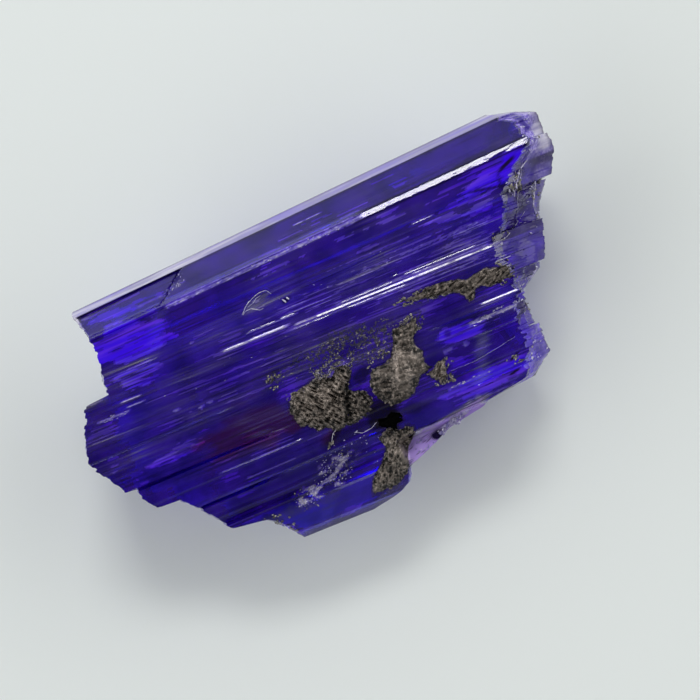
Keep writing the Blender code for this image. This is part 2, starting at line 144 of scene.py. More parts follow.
# where the crystal looks different: x, y, half length, half width, turn, strength
zones = dict(
    # painted glow: brighter blue where light shines through the crystal
    glow=(
        (-5.55, 2.75, 1.35, 0.8, 0, 1.0), (-5.7, 1.75, 0.9, 0.45, 0, 0.8),
        (5.9, 2.86, 0.95, 0.38, 6, 1.0), (6.75, 3.2, 0.55, 0.28, 20, 1.0), (4.85, 2.4, 1.3, 0.36, 0, 0.7),
        (3.44, -0.85, 1.0, 0.34, -4, 1.0), (-5.5, 3.8, 1.4, 0.4, 0, 0.6), (5.1, 3.0, 1.4, 0.25, 0, 0.5),
        (-7.38, -0.28, 0.22, 0.42, -20, 0.5), (-5.74, -0.83, 1.0, 0.17, 2, 0.7),
        (3.42, 3.86, 0.4, 0.2, 0, 0.6), (3.8, -2.45, 1.9, 0.38, 0, 1.0), (3.2, -1.75, 1.2, 0.3, 0, 0.6),
        (-2.7, 0.75, 0.9, 0.25, 0, 0.45), (-6.9, -0.9, 0.2, 0.7, 10, 0.45),
        (-4.95, -0.65, 0.8, 0.2, 8, 0.5), (-4.2, -2.6, 0.8, 0.3, 10, 0.4),
        (0.05, -3.0, 0.5, 0.35, 0, 0.5), (-4.7, 0.3, 0.8, 0.2, -14, 0.5), (1.3, 2.9, 1.2, 0.25, 0, 0.3)),
    purple=(
        (-3.35, -1.05, 1.7, 0.75, 0, 1.0), (-1.25, -2.15, 0.45, 0.2, 20, 1.0),
        (-2.2, -1.3, 0.5, 0.4, 0, 1.0)),
    soot=(
        (0.1, 0.1, 2.1, 0.55, 0, 0.9), (-0.55, -0.42, 0.8, 0.4, 5, 1.0), (0.9, -0.35, 0.9, 0.3, 5, 0.8),
        (2.2, -0.05, 0.45, 0.3, 10, 1.0), (-2.05, 0.05, 0.45, 0.3, 20, 0.8),
        (3.2, 0.45, 1.4, 0.2, -5, 0.7), (-2.6, -3.55, 0.7, 0.4, 10, 0.7),
        (-1.5, -3.1, 0.9, 0.45, 20, 0.7), (6.5, 2.4, 0.4, 0.35, 60, 0.7)),
    dark=(
        (6.55, 3.1, 0.4, 0.07, 22, 1.0), (6.15, 2.7, 0.28, 0.05, 80, 0.8),
        (5.85, 2.62, 0.65, 0.05, -12, 0.9), (6.3, 2.35, 0.25, 0.22, 40, 0.9),
        (6.15, 1.55, 0.55, 0.24, 50, 0.9), (5.45, 1.3, 0.28, 0.16, 30, 0.9),
        (6.35, 0.85, 0.35, 0.25, 20, 0.6), (0.55, -2.4, 0.45, 0.35, 20, 1.0),
        (-1.15, -2.15, 0.35, 0.14, 25, 0.9), (0.25, -0.85, 0.4, 0.25, 30, 0.8),
        (5.6, 3.62, 0.9, 0.1, 5, 0.6), (3.05, -0.75, 0.12, 0.12, 60, 0.6),
        (1.62, -3.38, 0.2, 0.17, 0, 1.5), (-0.88, 2.01, 0.18, 0.1, 15, 0.9),
        (0.35, -2.15, 0.75, 0.55, -20, 1.0), (6.95, 1.55, 0.3, 0.3, 40, 0.7),
        (6.85, 2.75, 0.3, 0.25, 60, 0.8), (-0.75, -2.25, 1.2, 0.22, 5, 0.7),
        (1.3, -2.35, 0.7, 0.18, -5, 0.6), (-2.4, -3.0, 2.8, 0.75, 5, 0.4),
        (-1.8, -4.15, 1.7, 0.35, 10, 0.3), (6.45, 0.35, 0.3, 0.55, 10, 0.6),
        (6.6, 1.95, 0.3, 0.4, 0, 0.9), (5.6, -1.3, 0.14, 0.8, 0, 0.5), (7.15, 1.9, 0.12, 0.6, 20, 0.6),
        (4.62, -2.14, 0.22, 0.05, 25, 1.0), (4.43, -2.57, 0.26, 0.05, 12, 1.0),
        (-3.9, -3.7, 0.4, 0.2, -30, 0.8)),
    # up to 1 a greyish lilac, above 1 the lilac of the thin plates, painted lighter as if lit through
    pale=(
        (8.0, 3.6, 0.3, 0.7, -12, 0.9), (-6.78, 3.75, 0.18, 0.5, 0, 0.9),
        (7.35, 1.75, 0.14, 0.95, -22, 0.6), (1.9, -3.4, 1.9, 0.45, 8, 3.0),
        (-1.72, 2.29, 0.5, 0.17, 16, 0.75), (5.8, -1.4, 0.1, 1.2, 0, 0.3),
        (-6.85, 1.9, 0.16, 0.5, 0, 0.8), (-7.3, 1.5, 0.5, 0.1, 0, 0.8), (-0.3, -4.45, 0.7, 0.18, 10, 0.4)),
    hazeRows=(-4.7, -3.9, -3.5, -2.5, -1.2, -0.3, 1.3, 2.2, 2.6, 3.25, 3.5, 4.2),
    haze=(0.1, 0.05, 0.08, 0.2, 0.5, 0.85, 1.0, 0.8, 0.5, 0.35, 0.3, 0.3),
    # the haze fades: by how much, between which lines, how softly, from x to where it is full
    hazeFades=(
        (0.55, 2.4, 9.0, 0.001, 2.5, 6.0), (0.7, 3.3, 9.0, 0.001, -3.0, -4.6),
        (0.75, -2.6, -1.0, 0.3, -2.6, -5.2), (0.9, 2.4, 3.3, 0.2, -1.4, -3.4),
        (0.3, -3.0, -0.5, 0.3, 2.4, 3.4)),
    endHaze=0.35, bevelFrom=4.235,
    # painted shade: dark lines along the grain: line, from x, to x, strength; then their width and how they
    # end
    darkLines=((3.435, 1.9, 7.3, 1.0), (3.235, 1.9, 7.3, 1.0), (4.205, -9.0, 9.0, 0.8)),
    darkLineWidth=0.03, darkLineFade=0.2,
    mist=((-6.5, 0.65, 1.7, 0.75, 0, 0.3), (6.9, 4.0, 1.2, 0.3, 0, 0.25), (1.0, 2.9, 3.4, 0.45, 0, 0.15)),
    rimPale=(0.3, 0.15, 0.05, 0.15, 0.35, 0.7, 0.75),
    endRows=(-3.0, -0.6, 0.4, 1.4, 2.6, 3.1, 4.6), endLilac=(0.45, 0.35, 0.1, 0.25, 0.45, 1.0, 1.0),
    # whitish patches, partly painted light: on the thin plates a glow of light let through, sparkle on chips
    chalkglint=(
        (-1.55, -3.1, 0.75, 0.5, 25, 1.1), (-2.55, -3.5, 0.55, 0.34, 10, 1.1),
        (-3.58, 3.78, 0.28, 0.16, 40, 0.7), (-3.87, 1.94, 0.24, 0.12, 50, 0.5),
        (-0.45, -0.35, 0.6, 0.2, 8, 0.5), (3.1, -1.22, 0.6, 0.12, 0, 0.5),
        (-6.45, 3.95, 0.35, 0.18, 0, 0.5), (-5.08, 0.34, 0.34, 0.09, -40, 0.6),
        (-4.42, 0.13, 0.52, 0.08, 4, 0.6), (1.62, -3.36, 0.36, 0.3, 0, 1.3),
        (2.35, -3.14, 0.5, 0.1, 10, 1.3), (1.2, -3.22, 0.25, 0.12, 10, 1.3),
        (6.6, 2.5, 0.3, 0.3, 60, 0.6), (7.05, 1.8, 0.75, 0.1, 68, 0.9), (6.55, 2.45, 0.35, 0.12, 60, 1.0),
        (7.55, 4.1, 0.5, 0.12, -60, 0.7), (0.75, 2.95, 3.6, 0.12, 0, 0.25),
        (3.9, -2.9, 1.2, 0.05, 3, 0.6), (5.98, -0.18, 0.4, 0.12, 25, 0.8),
        (2.6, -3.2, 0.45, 0.06, 11, 0.8), (-1.85, 2.25, 0.35, 0.12, 16, 0.5)),
)

# whitish hairlines and granular bands, partly painted glints and sparkle: line, from x, to x, half width,
# strength, how broken up; then random hairlines, by how many there are on each line of the grain: length,
# seed, strength
hairlines = dict(
    lines=(
        (1.235, -0.9, 5.2, 0.04, 0.9, 0.2), (1.29, -3.1, -1.2, 0.045, 0.9, 0.2),
        (1.15, -1.1, 2.2, 0.018, 0.7, 0.5), (1.53, -2.3, -0.8, 0.02, 0.8, 0.3),
        (1.37, 0.4, 4.9, 0.018, 0.7, 0.5), (1.08, 0.9, 4.7, 0.018, 0.6, 0.5),
        (1.92, 1.5, 5.4, 0.05, 0.6, 0.9), (2.08, 2.2, 5.2, 0.018, 0.5, 0.8),
        (2.57, 3.35, 3.9, 0.02, 0.8, 0.2), (3.925, 0.2, 0.42, 0.028, 1.0, 0.1),
        (3.925, 0.62, 0.96, 0.028, 1.0, 0.1), (3.305, -4.1, 2.1, 0.08, 0.85, 0.5),
        (3.4, -3.6, 2.1, 0.016, 0.7, 0.5), (-0.25, 4.3, 5.35, 0.035, 1.0, 0.2),
        (-0.66, 3.8, 5.3, 0.06, 1.4, 0.7), (1.31, 0.4, 5.0, 0.016, 0.7, 0.3),
        (1.115, 0.9, 4.8, 0.018, 0.7, 0.4), (1.02, 1.6, 4.6, 0.016, 0.7, 0.4),
        (1.455, 2.4, 5.1, 0.016, 0.7, 0.4), (0.9, 2.4, 4.9, 0.014, 0.6, 0.4),
        (-2.23, 2.5, 3.8, 0.022, 0.7, 0.6), (0.72, -7.3, -6.4, 0.045, 0.8, 0.6),
        (1.01, -6.4, -5.9, 0.022, 0.9, 0.2), (0.83, -6.3, -5.9, 0.022, 0.8, 0.3),
        (-1.9, -4.6, -2.2, 0.014, 0.7, 0.3), (-2.33, -4.0, -2.6, 0.016, 0.7, 0.4),
        (-1.78, -3.6, -2.4, 0.012, 0.5, 0.5), (3.7, -4.9, -4.2, 0.022, 0.6, 0.6),
        (2.28, 0.5, 3.0, 0.016, 0.4, 0.8)),
    rows=(-4.4, -3.6, -2.6, -1.2, -0.3, 0.6, 1.0, 1.7, 2.1, 2.3, 2.6, 3.2, 3.5, 4.2),
    weight=(0.05, 0.1, 0.2, 0.35, 0.55, 0.75, 1.15, 1.2, 0.75, 0.35, 0.05, 0.0, 0.1, 0.1),
    random=((1.9, 33, 0.75), (0.3, 34, 0.4)), width=0.028, leftShare=0.35, leftRamp=(-3.4, -0.6),
    softEdge=0.012, fade=0.15,
)

# noise over the surface: size along, size across, seed
patterns = dict(
    spotEdge=(0.42, 0.16, 5), spotEdgeFine=(0.15, 0.07, 6), hazePatches=(1.1, 0.4, 12),
    stripeGrain=(0.1, 0.03, 21), plateLumps=(0.3, 0.2, 22), ridgeBreaks=(0.2, 0.2, 23),
    chalkGlintGrains=(0.17, 0.09, 24), bevelStreaks=(1.1, 0.04, 26), plateCracks=(0.32, 0.24, 27),
    endFrost=(0.35, 0.35, 28), glowStreaks=(0.6, 0.06, 29), hairlineBands=(1.4, 0.25, 35),
    darkStreaks=(1.9, 0.034, 36), rimBreaks=(0.5, 0.5, 37), frontFrost=(0.9, 0.3, 38),
    clearStreaks=(1.5, 0.036, 39), clearBits=(0.4, 0.025, 40), endShade=(0.3, 0.3, 44),
    crustLumps=(0.45, 0.45, 55),
)


def smooth(value, low, high):  # rises smoothly from 0 at low to 1 at high
    share = np.clip((value - low) / (high - low), 0.0, 1.0)
    return share * share * (3.0 - 2.0 * share)


def between(value, low, high, soft):  # 1 between low and high, fading to 0 over the soft width outside them
    return smooth(value, low - soft, low) * (1.0 - smooth(value, high, high + soft))


def bell(value, width):  # 1 at 0, fading smoothly to both sides
    return np.exp(-(value / width) ** 2)


def latticeNoise(u, v, seed):  # from -1 to 1: a random table read at whole numbers, smoothly blended between
    table = np.random.default_rng(seed).uniform(-1.0, 1.0, (128, 128))
    u, v = np.broadcast_arrays(np.asarray(u, dtype=float), np.asarray(v, dtype=float))
    i = np.floor(u).astype(int)
    j = np.floor(v).astype(int)
    shareU = smooth(u - i, 0.0, 1.0)
    shareV = smooth(v - j, 0.0, 1.0)
    near = table[i % 128, j % 128] * (1.0 - shareU) + table[(i + 1) % 128, j % 128] * shareU
    far = table[i % 128, (j + 1) % 128] * (1.0 - shareU) + table[(i + 1) % 128, (j + 1) % 128] * shareU
    return near * (1.0 - shareV) + far * shareV


def pattern(name, u, v):  # one of the patterns above, from -1 to 1
    along, across, seed = patterns[name]
    return latticeNoise(u / along, v / across, seed)


def turned(x, y, degrees):  # a place seen from axes turned by so many degrees
    cosTurn, sinTurn = math.cos(math.radians(degrees)), math.sin(math.radians(degrees))
    return x * cosTurn + y * sinTurn, y * cosTurn - x * sinTurn


def raggedStep(line, seed):  # each blade of the bundle has its own length, on a slower wave
    lengths = np.random.default_rng(seed).uniform(-1.0, 1.0, 256)
    blade = lengths[np.floor((line + 6.0) / ragged["blade"]).astype(int) % 256]
    wave = latticeNoise(line / ragged["waveLength"], seed * 0.37, seed)
    return ragged["step"] * blade + ragged["wave"] * wave


def grainSlope(line):  # how far a line of the grain rises in y for each mm along x
    return np.interp(line, crystal["grainRows"], crystal["grainSlopes"])


def lineThrough(x, y):  # the line of the grain through a point, found by substituting a few times
    line = np.asarray(y, dtype=float)
    for _ in range(4):
        line = y - grainSlope(line) * x
    return line


def edgeAt(points, line):  # where an edge of the outline meets a line of the grain
    x, y = np.array(points).T
    lines = np.minimum.accumulate(lineThrough(x, y)) - 0.001 * np.arange(len(x))
    return np.interp(line, lines[::-1], x[::-1])


def ellipseShare(x, y, atX, atY, halfLength, halfWidth, turn):  # 0 in the middle of an ellipse, 1 on its rim
    along, across = turned(x - atX, y - atY, turn)
    return np.hypot(along / halfLength, across / halfWidth)


def spots(x, y, rows):  # ragged soft-edged ellipses: the strongest one at each point
    wobble = 1.0 + 0.25 * pattern("spotEdge", x, y) + 0.12 * pattern("spotEdgeFine", x, y)
    total = np.zeros(x.shape)
    for *place, strength in rows:
        total = np.maximum(total, strength * (1.0 - smooth(ellipseShare(x, y, *place) * wobble, 0.55, 1.1)))
    return total


def ledgeDepth(ledges, x, line):  # how far the broken layers lower the face, with leaning, ragged breaks
    rise = crystal["ledgeRise"]
    depth = 0.0
    for number, (fromX, toX, fromLine, toLine, drop, lean, run) in enumerate(ledges):
        shift = lean * (line - 0.5 * (fromLine + toLine)) + ragged["ledgeEnd"] * raggedStep(line, 40 + number)
        along = smooth(x - shift, fromX, fromX + run) * (1.0 - smooth(x - shift, toX - run, toX))
        depth = depth + drop * along * between(line, fromLine, toLine, rise)
    return depth


def plateMask(x, line):  # 1 on the thin plates at the lower right
    along = smooth(x, crystal["plateLeft"] - crystal["plateStepAlong"], crystal["plateLeft"])
    return along * (1.0 - smooth(line, crystal["plateTop"] - crystal["plateStepAcross"], crystal["plateTop"]))


def strandHeight(x, line):  # terraces of random height, long along the grain and narrow across it
    rng = np.random.default_rng(strands["seed"])
    total = np.zeros(np.broadcast(x, line).shape)
    for pitch, reach, height in strands["sizes"]:
        rows = int(11.0 / pitch) + 3
        columns = int(20.0 / reach) + 4
        table = rng.uniform(-1.0, 1.0, (rows, columns))
        phase = rng.uniform(0.0, 1.0, rows)
        across = (line + 5.5) / pitch
        row = np.clip(np.floor(across).astype(int), 0, rows - 2)
        part = np.clip((across - row) * strands["riser"], 0.0, 1.0)  # a sloping riser and a flat tread
        value = 0.0
        for step, weight in ((0, 1.0 - part), (1, part)):
            along = (x + 10.0) / reach + phase[row + step]
            column = np.clip(np.floor(along).astype(int), 0, columns - 2)
            share = smooth(along - column, 0.0, 1.0)
            here = table[row + step, column] * (1.0 - share) + table[row + step, column + 1] * share
            value = value + weight * here
        total = total + height * value
    return total


def glintHeight(x, line):  # lopsided ridges whose upper flank has the tilt that mirrors the key light
    rows, heights = zip(*crystal["frontProfile"])
    total = 0.0
    meshLines = grainLines().ravel()
    for number, (at, width, fromX, toX) in enumerate(glints["lines"]):
        peak = np.argmin(np.abs(meshLines - at))
        foot = max(peak + 1, np.argmin(np.abs(meshLines - at - width)))  # on whole lines of the mesh
        at, width = meshLines[peak], meshLines[foot] - meshLines[peak]
        base = (np.interp(at + width, rows, heights) - np.interp(at, rows, heights)) / width
        rise = max(0.0, math.tan(math.radians(glints["tilt"])) + base) * width
        back = glints["backSlope"] * width
        gaps = np.maximum(0.0, latticeNoise(x / glints["gapLength"], number + 0.5, 10) - glints["whole"])
        ends = between(x, fromX, toX, glints["fade"]) * (1.0 - glints["gapDepth"] * gaps)
        shape = np.minimum(1.0 - (line - at) / width, 1.0 + (line - at) / back)
        total = total + rise * np.clip(shape, 0.0, 1.0) * ends
    return total


def chipDepth(x, y):  # shell-shaped chips: a bowl with a sharp rim
    total = np.zeros(np.broadcast(x, y).shape)
    for *place, depth in chips:
        share = ellipseShare(x, y, *place)
        total = np.maximum(total, depth * (1.15 - share ** 2) * (share < 1.0))
    return total


def frontBase(x, line):  # facets, broken layers, long ridges and the thin plates, as in the solid
    rows, heights = zip(*crystal["frontProfile"])
    z = np.interp(line, rows, heights) - ledgeDepth(crystal["frontLedges"], x, line)
    for at, height in crystal["ridges"]:
        z = z + height * np.clip(1.0 - np.abs(line - at) / crystal["ridgeHalfWidth"], 0.0, 1.0)
    plates = plateMask(x, line)
    return z * (1.0 - plates) + crystal["plateFront"] * plates


def frontHeight(x, line):  # the base plus strands, glints, a rough stripe and its crest, less the chips
    y = line + grainSlope(line) * x
    plates = plateMask(x, line)
    strength = np.interp(line, strands["rows"], strands["strength"]) * (1.0 - crystal["plateCalm"] * plates)
    z = frontBase(x, line) + strength * strandHeight(x, line) + glintHeight(x, line) - chipDepth(x, y)
    low, high = crystal["stripe"]
    onStripe = between(line, low, high, crystal["stripeSoft"])
    z = z + crystal["stripeRough"] * onStripe * pattern("stripeGrain", x, line)
    crest = np.clip(1.0 - np.abs(line - high) / crystal["crestHalfWidth"], 0.0, 1.0)
    z = z + crystal["crestHeight"] * (1.0 - smooth(x, *crystal["crestEnd"])) * crest
    return z - crystal["plateRough"] * plates * (1.0 + pattern("plateLumps", x, y))


def backHeight(x, line):  # flat facets with broken layers, and the underside of the thin plates
    rows, heights = zip(*crystal["backProfile"])
    z = np.interp(line, rows, heights) + ledgeDepth(crystal["backLedges"], x, line)
    plates = plateMask(x, line)
    return z * (1.0 - plates) + np.maximum(z, crystal["plateBack"]) * plates


def scoopBowls(scoops, y, z):  # how deep each round scoop of a fracture is
    return [deep * (1.0 - ((y - atY) ** 2 + (z - atZ) ** 2) / radius ** 2)
            for atY, atZ, radius, deep in scoops]


def scoopDepth(scoops, y, z):  # shell-shaped fracture: the deepest of several round scoops, with a fine grain
    depth = np.maximum(0.0, np.max(scoopBowls(scoops, y, z), axis=0))
    for number, (size, height) in enumerate(fractureGrain):
        depth = depth + height * latticeNoise(y / size, z / size, 31 + number)
    return depth


def endShares(count):  # how far down a broken end each point lies: 0 at the front, 1 at the back
    return np.linspace(0.0, 1.0, count + 2)[1:-1][None, :]


def endWall(line, frontX, edgeX, backX, waist, scoops, outward, count):
    # down a broken end, from the front face by way of its widest level to the back
    share = endShares(count)
    upper = np.clip(share / waist, 0.0, 1.0) ** crystal["upperBulge"]
    lower = np.clip((share - waist) / (1.0 - waist), 0.0, 1.0) ** crystal["lowerBulge"]
    x = frontX + (edgeX - frontX) * upper + (backX - edgeX) * lower
    frontZ = frontHeight(frontX, line)
    backZ = backHeight(backX, line)
    z = frontZ + (backZ - frontZ) * share
    y = line + grainSlope(line) * x
    fullness = np.minimum(1.0, (frontZ - backZ) / crystal["thinEdge"]) * np.sin(math.pi * share) ** 0.5
    offRim = 1.0 - 0.8 * bell(share - waist, crystal["rimWidth"])
    return x - outward * scoopDepth(scoops, y, z) * fullness * offRim, z


def grainLines():  # the lines of the mesh, from the lower edge up, as close together as each zone needs
    lines = [crystal["frontProfile"][-1][0]]
    for target, spacing in crystal["lineZones"]:
        steps = math.ceil((lines[-1] - target) / spacing)
        lines += list(np.linspace(lines[-1], target, steps + 1)[1:])
    return np.array(lines[::-1])[:, None]


def stripBetween(front, back, frontX, backX):  # triangles between two rows of points whose counts differ
    order = np.argsort(np.concatenate((frontX[1:], backX[1:])), kind="stable")
    isFront = order < len(front) - 1
    i = np.cumsum(isFront)
    j = np.cumsum(~isFront)
    before = np.where(isFront, front[i - 1], back[j - 1])
    return np.stack((front[i], back[j], before), axis=1)


def ringQuads(index):  # quads between neighbouring rows of points, each row closed to a ring
    following = np.roll(index, -1, axis=1)
    return np.stack((index[:-1], following[:-1], following[1:], index[1:]), axis=2).reshape(-1, 4)


def newObject(name, data):  # an object of the scene that carries this data
    thing = bpy.data.objects.new(name, data)
    bpy.context.scene.collection.objects.link(thing)
    return thing


def newPiece(name, points, faces, materials):  # a mesh of points in millimetres
    mesh = bpy.data.meshes.new(name)
    mesh.from_pydata((np.asarray(points) * mm).tolist(), [], faces)
    for material in materials:
        mesh.materials.append(material)
    mesh.update()
    return newObject(name, mesh)


def addAttribute(mesh, name, values):  # one number for each point, read by the materials
    values = np.ascontiguousarray(np.ravel(values), dtype=np.float32)
    mesh.attributes.new(name, "FLOAT", "POINT").data.foreach_set("value", values)


def rimLine(waist, count, width):  # 1 on the widest level of a broken end, fading within so many points
    return bell((endShares(count) - waist) * count, width)


def makeCrystal(materials):
    # rings of points, one for each line of the grain: along the front, down the right end, back along
    # the back and up the left end; neighbouring rings are joined by quads
    lines = grainLines()
    left = edgeAt(crystal["leftEdge"], lines) + np.abs(raggedStep(lines, 1))
    right = edgeAt(crystal["rightEdge"], lines) - np.abs(raggedStep(lines, 2))
    middle = 0.5 * (left + right)
    fullness = np.minimum(1.0, (frontBase(middle, lines) - backHeight(middle, lines)) / crystal["thinEdge"])
    blades = np.array(crystal["endBlades"])
    blade = blades[np.argmax(lines >= blades[None, :, 0], axis=1)]
    rightWaist, rightInset, leftWaist, leftInset = (blade[:, k:k + 1] for k in range(1, 5))
    faceLeft = left + (crystal["leftFaceInset"] + np.abs(raggedStep(lines, 3))) * fullness
    faceInset = right - edgeAt(crystal["rightFaceEnd"], lines) + ragged["faceEnd"] * raggedStep(lines, 4)
    faceRight = right - np.maximum(crystal["rightFaceInset"], faceInset) * fullness
    backLeft = left + leftInset * fullness
    backRight = right - rightInset * fullness
    frontX = faceLeft + (faceRight - faceLeft) * np.linspace(0.0, 1.0, crystal["frontPoints"])[None, :]
    backX = backLeft + (backRight - backLeft) * np.linspace(1.0, 0.0, crystal["backPoints"])[None, :]
    rightCount, leftCount = crystal["rightPoints"], crystal["leftPoints"]
    rightX, rightZ = endWall(lines, faceRight, right, backRight, rightWaist,
                             crystal["rightScoops"], 1.0, rightCount)
    leftX, leftZ = endWall(lines, faceLeft, left, backLeft, leftWaist, crystal["leftScoops"], -1.0, leftCount)
    x = np.concatenate((frontX, rightX, backX, leftX[:, ::-1]), axis=1)
    z = np.concatenate((frontHeight(frontX, lines), rightZ, backHeight(backX, lines), leftZ[:, ::-1]), axis=1)
    y = lines + grainSlope(lines) * x
    rows, count = x.shape
    index = np.arange(rows * count).reshape(rows, count)
    quads = ringQuads(index)
    split = crystal["frontPoints"]
    low = stripBetween(index[0, :split], index[0, split:][::-1], x[0, :split], x[0, split:][::-1])
    high = stripBetween(index[-1, :split], index[-1, split:][::-1], x[-1, :split], x[-1, split:][::-1])
    faces = quads.tolist() + low[:, ::-1].tolist() + high.tolist()
    points = np.stack((x, y, z), axis=2).reshape(-1, 3)
    piece = newPiece("tanzaniteBody", points, faces, materials)
    side = np.zeros(x.shape)  # 0 front, 1 broken ends, 2 back
    side[:, split:] = 1.0
    side[:, split + rightCount:-leftCount] = 2.0
    rim = np.zeros((2,) + x.shape)  # 1 where a broken end is widest: the outline itself, then a broad seam
    for number, width in enumerate((1.3, 4.5)):
        rim[number, :, split:split + rightCount] = rimLine(rightWaist, rightCount, width)
        rim[number, :, -leftCount:] = rimLine(leftWaist, leftCount, width)[:, ::-1]
    frost = paintZones(piece.data, x, y, z, np.broadcast_to(lines, x.shape), side, rim)
    streaks = 0.5 + 0.45 * pattern("clearStreaks", x, lines) + 0.12 * pattern("clearBits", x, lines)
    fractured = len(materials) - 1  # the last material is for the broken ends
    most = fractured - 1
    kinds = np.full(len(faces), most, dtype=np.int32)
    frosted = np.clip(frost * most + np.clip(streaks, 0.02, 0.98), 0.0, most)
    kinds[:len(quads)] = np.where(side == 1.0, fractured, frosted)[:-1].ravel()
    piece.data.polygons.foreach_set("material_index", kinds)
    piece.data.shade_smooth()
    piece.data.set_sharp_from_angle(angle=math.radians(crystal["sharpAngle"]))
    return piece, points[side.ravel() < 2]


def chalkGlintLines(x, line):  # whitish lines along the grain, partly painted glints: the listed ones, then random ones
    total = np.zeros(x.shape)
    for number, (at, fromX, toX, halfWidth, strength, broken) in enumerate(hairlines["lines"]):
        grains = latticeNoise(x / 0.09, line / 0.03, 80 + number)
        across = 1.0 - smooth(np.abs(line - at), 0.5 * halfWidth, halfWidth + hairlines["softEdge"])
        along = between(x, fromX, toX, hairlines["fade"])
        total = np.maximum(total, strength * along * across * (1.0 - broken * (0.5 + 0.6 * grains)))
    left = hairlines["leftShare"]
    weight = np.interp(line, hairlines["rows"], hairlines["weight"])
    weight = weight * (0.8 + 0.35 * pattern("hairlineBands", x, line)) * (1.0 - plateMask(x, line))
    weight = weight * (left + (1.0 - left) * smooth(x, *hairlines["leftRamp"]))
    row = line / hairlines["width"]
    for length, seed, top in hairlines["random"]:
        value = latticeNoise(x / length + 3.0 * latticeNoise(0.5, row, seed + 5), row, seed)
        total = np.maximum(total, top * smooth(value + 0.55 * (weight - 1.0), 0.4, 0.85))
    return np.clip(total, 0.0, 1.0)


def scoopRidges(scoops, y, z):  # 1 where two scoops of a fracture meet
    second, first = np.sort(np.stack(scoopBowls(scoops, y, z)), axis=0)[-2:]
    return (second > -0.05) * (1.0 - smooth(first - second, 0.0, 0.05))


def paintZones(mesh, x, y, z, line, side, rim):
    # masks over the surface, each the strongest of its parts: haze, a painted glow of light shining through,
    # purple zones, whitish lines that are partly painted glints, thin graphite film, dark cracks, painted
    # shade along the outlines and broken ends, pale thin places; returns how frosted each point is
    onFront, onEnd, seen = 1.0 * (side == 0), 1.0 * (side == 1), 1.0 * (side < 2)
    bevel = 1.0 * (line > zones["bevelFrom"])
    plates = plateMask(x, line)
    endLilac = np.interp(y, zones["endRows"], zones["endLilac"])
    haze = np.interp(line, zones["hazeRows"], zones["haze"]) * (0.75 + 0.8 * pattern("hazePatches", x, y))
    for amount, low, high, soft, start, full in zones["hazeFades"]:
        haze = haze * (1.0 - amount * between(line, low, high, soft) * smooth(x, start, full))
    haze = (haze + spots(x, y, zones["mist"])) * onFront + zones["endHaze"] * onEnd * endLilac
    # painted glow where light shines through, streaked along the grain
    streaks = pattern("glowStreaks", x, line)
    glow = spots(x, y, zones["glow"]) * seen * (0.85 + 0.3 * streaks)
    paleRim = rim[1] * smooth(pattern("rimBreaks", y, z), -0.9, 0.3)
    pale = np.maximum.reduce([
        spots(x, y, zones["pale"]) * seen, bevel * (0.8 + 0.2 * pattern("bevelStreaks", x, line)),
        paleRim * np.interp(y, zones["endRows"], zones["rimPale"])])
    rightRidges, leftRidges = (scoopRidges(crystal[key], y, z) for key in ("rightScoops", "leftScoops"))
    ridges = np.where(x > 0.0, rightRidges, leftRidges)
    # whitish lines and patches: partly the crystal's own, partly painted glints and glow
    chalkglint = np.maximum.reduce([
        chalkGlintLines(x, line) * onFront,
        spots(x, y, zones["chalkglint"]) * smooth(pattern("chalkGlintGrains", x, y), -0.1, 0.5) * onFront,
        0.55 * onEnd * ridges * smooth(pattern("ridgeBreaks", y, z), -0.5, 0.4)])
    fade, width = zones["darkLineFade"], zones["darkLineWidth"]
    darkLines = [strength * onFront * between(x, fromX, toX, fade) * bell(line - at, width)
                 for at, fromX, toX, strength in zones["darkLines"]]
    ledges = crystal["frontLedges"]
    broken = np.abs(ledgeDepth(ledges, x + 0.05, line) - ledgeDepth(ledges, x - 0.05, line))
    # painted shade: darker patches and a darker middle band over the broken ends
    cavityShade = (y < 3.0) * smooth(latticeNoise(y / 0.42, z / 0.42 + x / 0.8, 41), 0.05, 0.45)
    endShade = (y < 3.2) * (0.2 + 0.35 * between(y, -0.4, 2.7, 0.4) + 0.2 * pattern("endShade", y, z))
    # dark cracks and streaks; painted shade along the outlines, at the stripe's borders, the breaks of the
    # layers and on the broken ends
    dark = np.maximum.reduce([
        *darkLines, spots(x, y, zones["dark"]) * seen,
        0.55 * smooth(pattern("darkStreaks", x, line), 0.55, 0.8) * onFront * (1.0 - bevel),
        0.6 * (smooth(line, 4.42, 4.46) + 1.0 - smooth(line, -4.72, -4.66)), 0.75 * rim[0],
        0.8 * plates * seen * (np.abs(pattern("plateCracks", x, y)) < 0.05),
        0.8 * onFront * smooth(broken, 0.06, 0.1), 0.85 * onEnd * cavityShade, onEnd * endShade])
    masks = dict(
        haze=np.clip(haze, 0.0, 1.0), glow=glow, purple=spots(x, y, zones["purple"]) * onFront,
        soot=spots(x, y, zones["soot"]) * seen, chalkglint=chalkglint, dark=dark, pale=pale, ends=onEnd * endLilac,
        grainLine=line * mm)
    for name, values in masks.items():
        addAttribute(mesh, name, values)
    return np.maximum.reduce([
        bevel, 1.2 * chalkglint, paleRim, plates * onFront, smooth(glow + 0.15 * streaks, 0.3, 0.85),
        onEnd * (0.2 + 0.5 * pattern("endFrost", y, z) + 0.5 * smooth(y, 2.7, 3.2)),
        0.3 * onFront * pattern("frontFrost", x, y)])


# grid of heights: size of a cell, free cells around the crystal, how often gaps take their neighbours' height
surfaceGrid = dict(cell=0.05, margin=4, spreads=12)


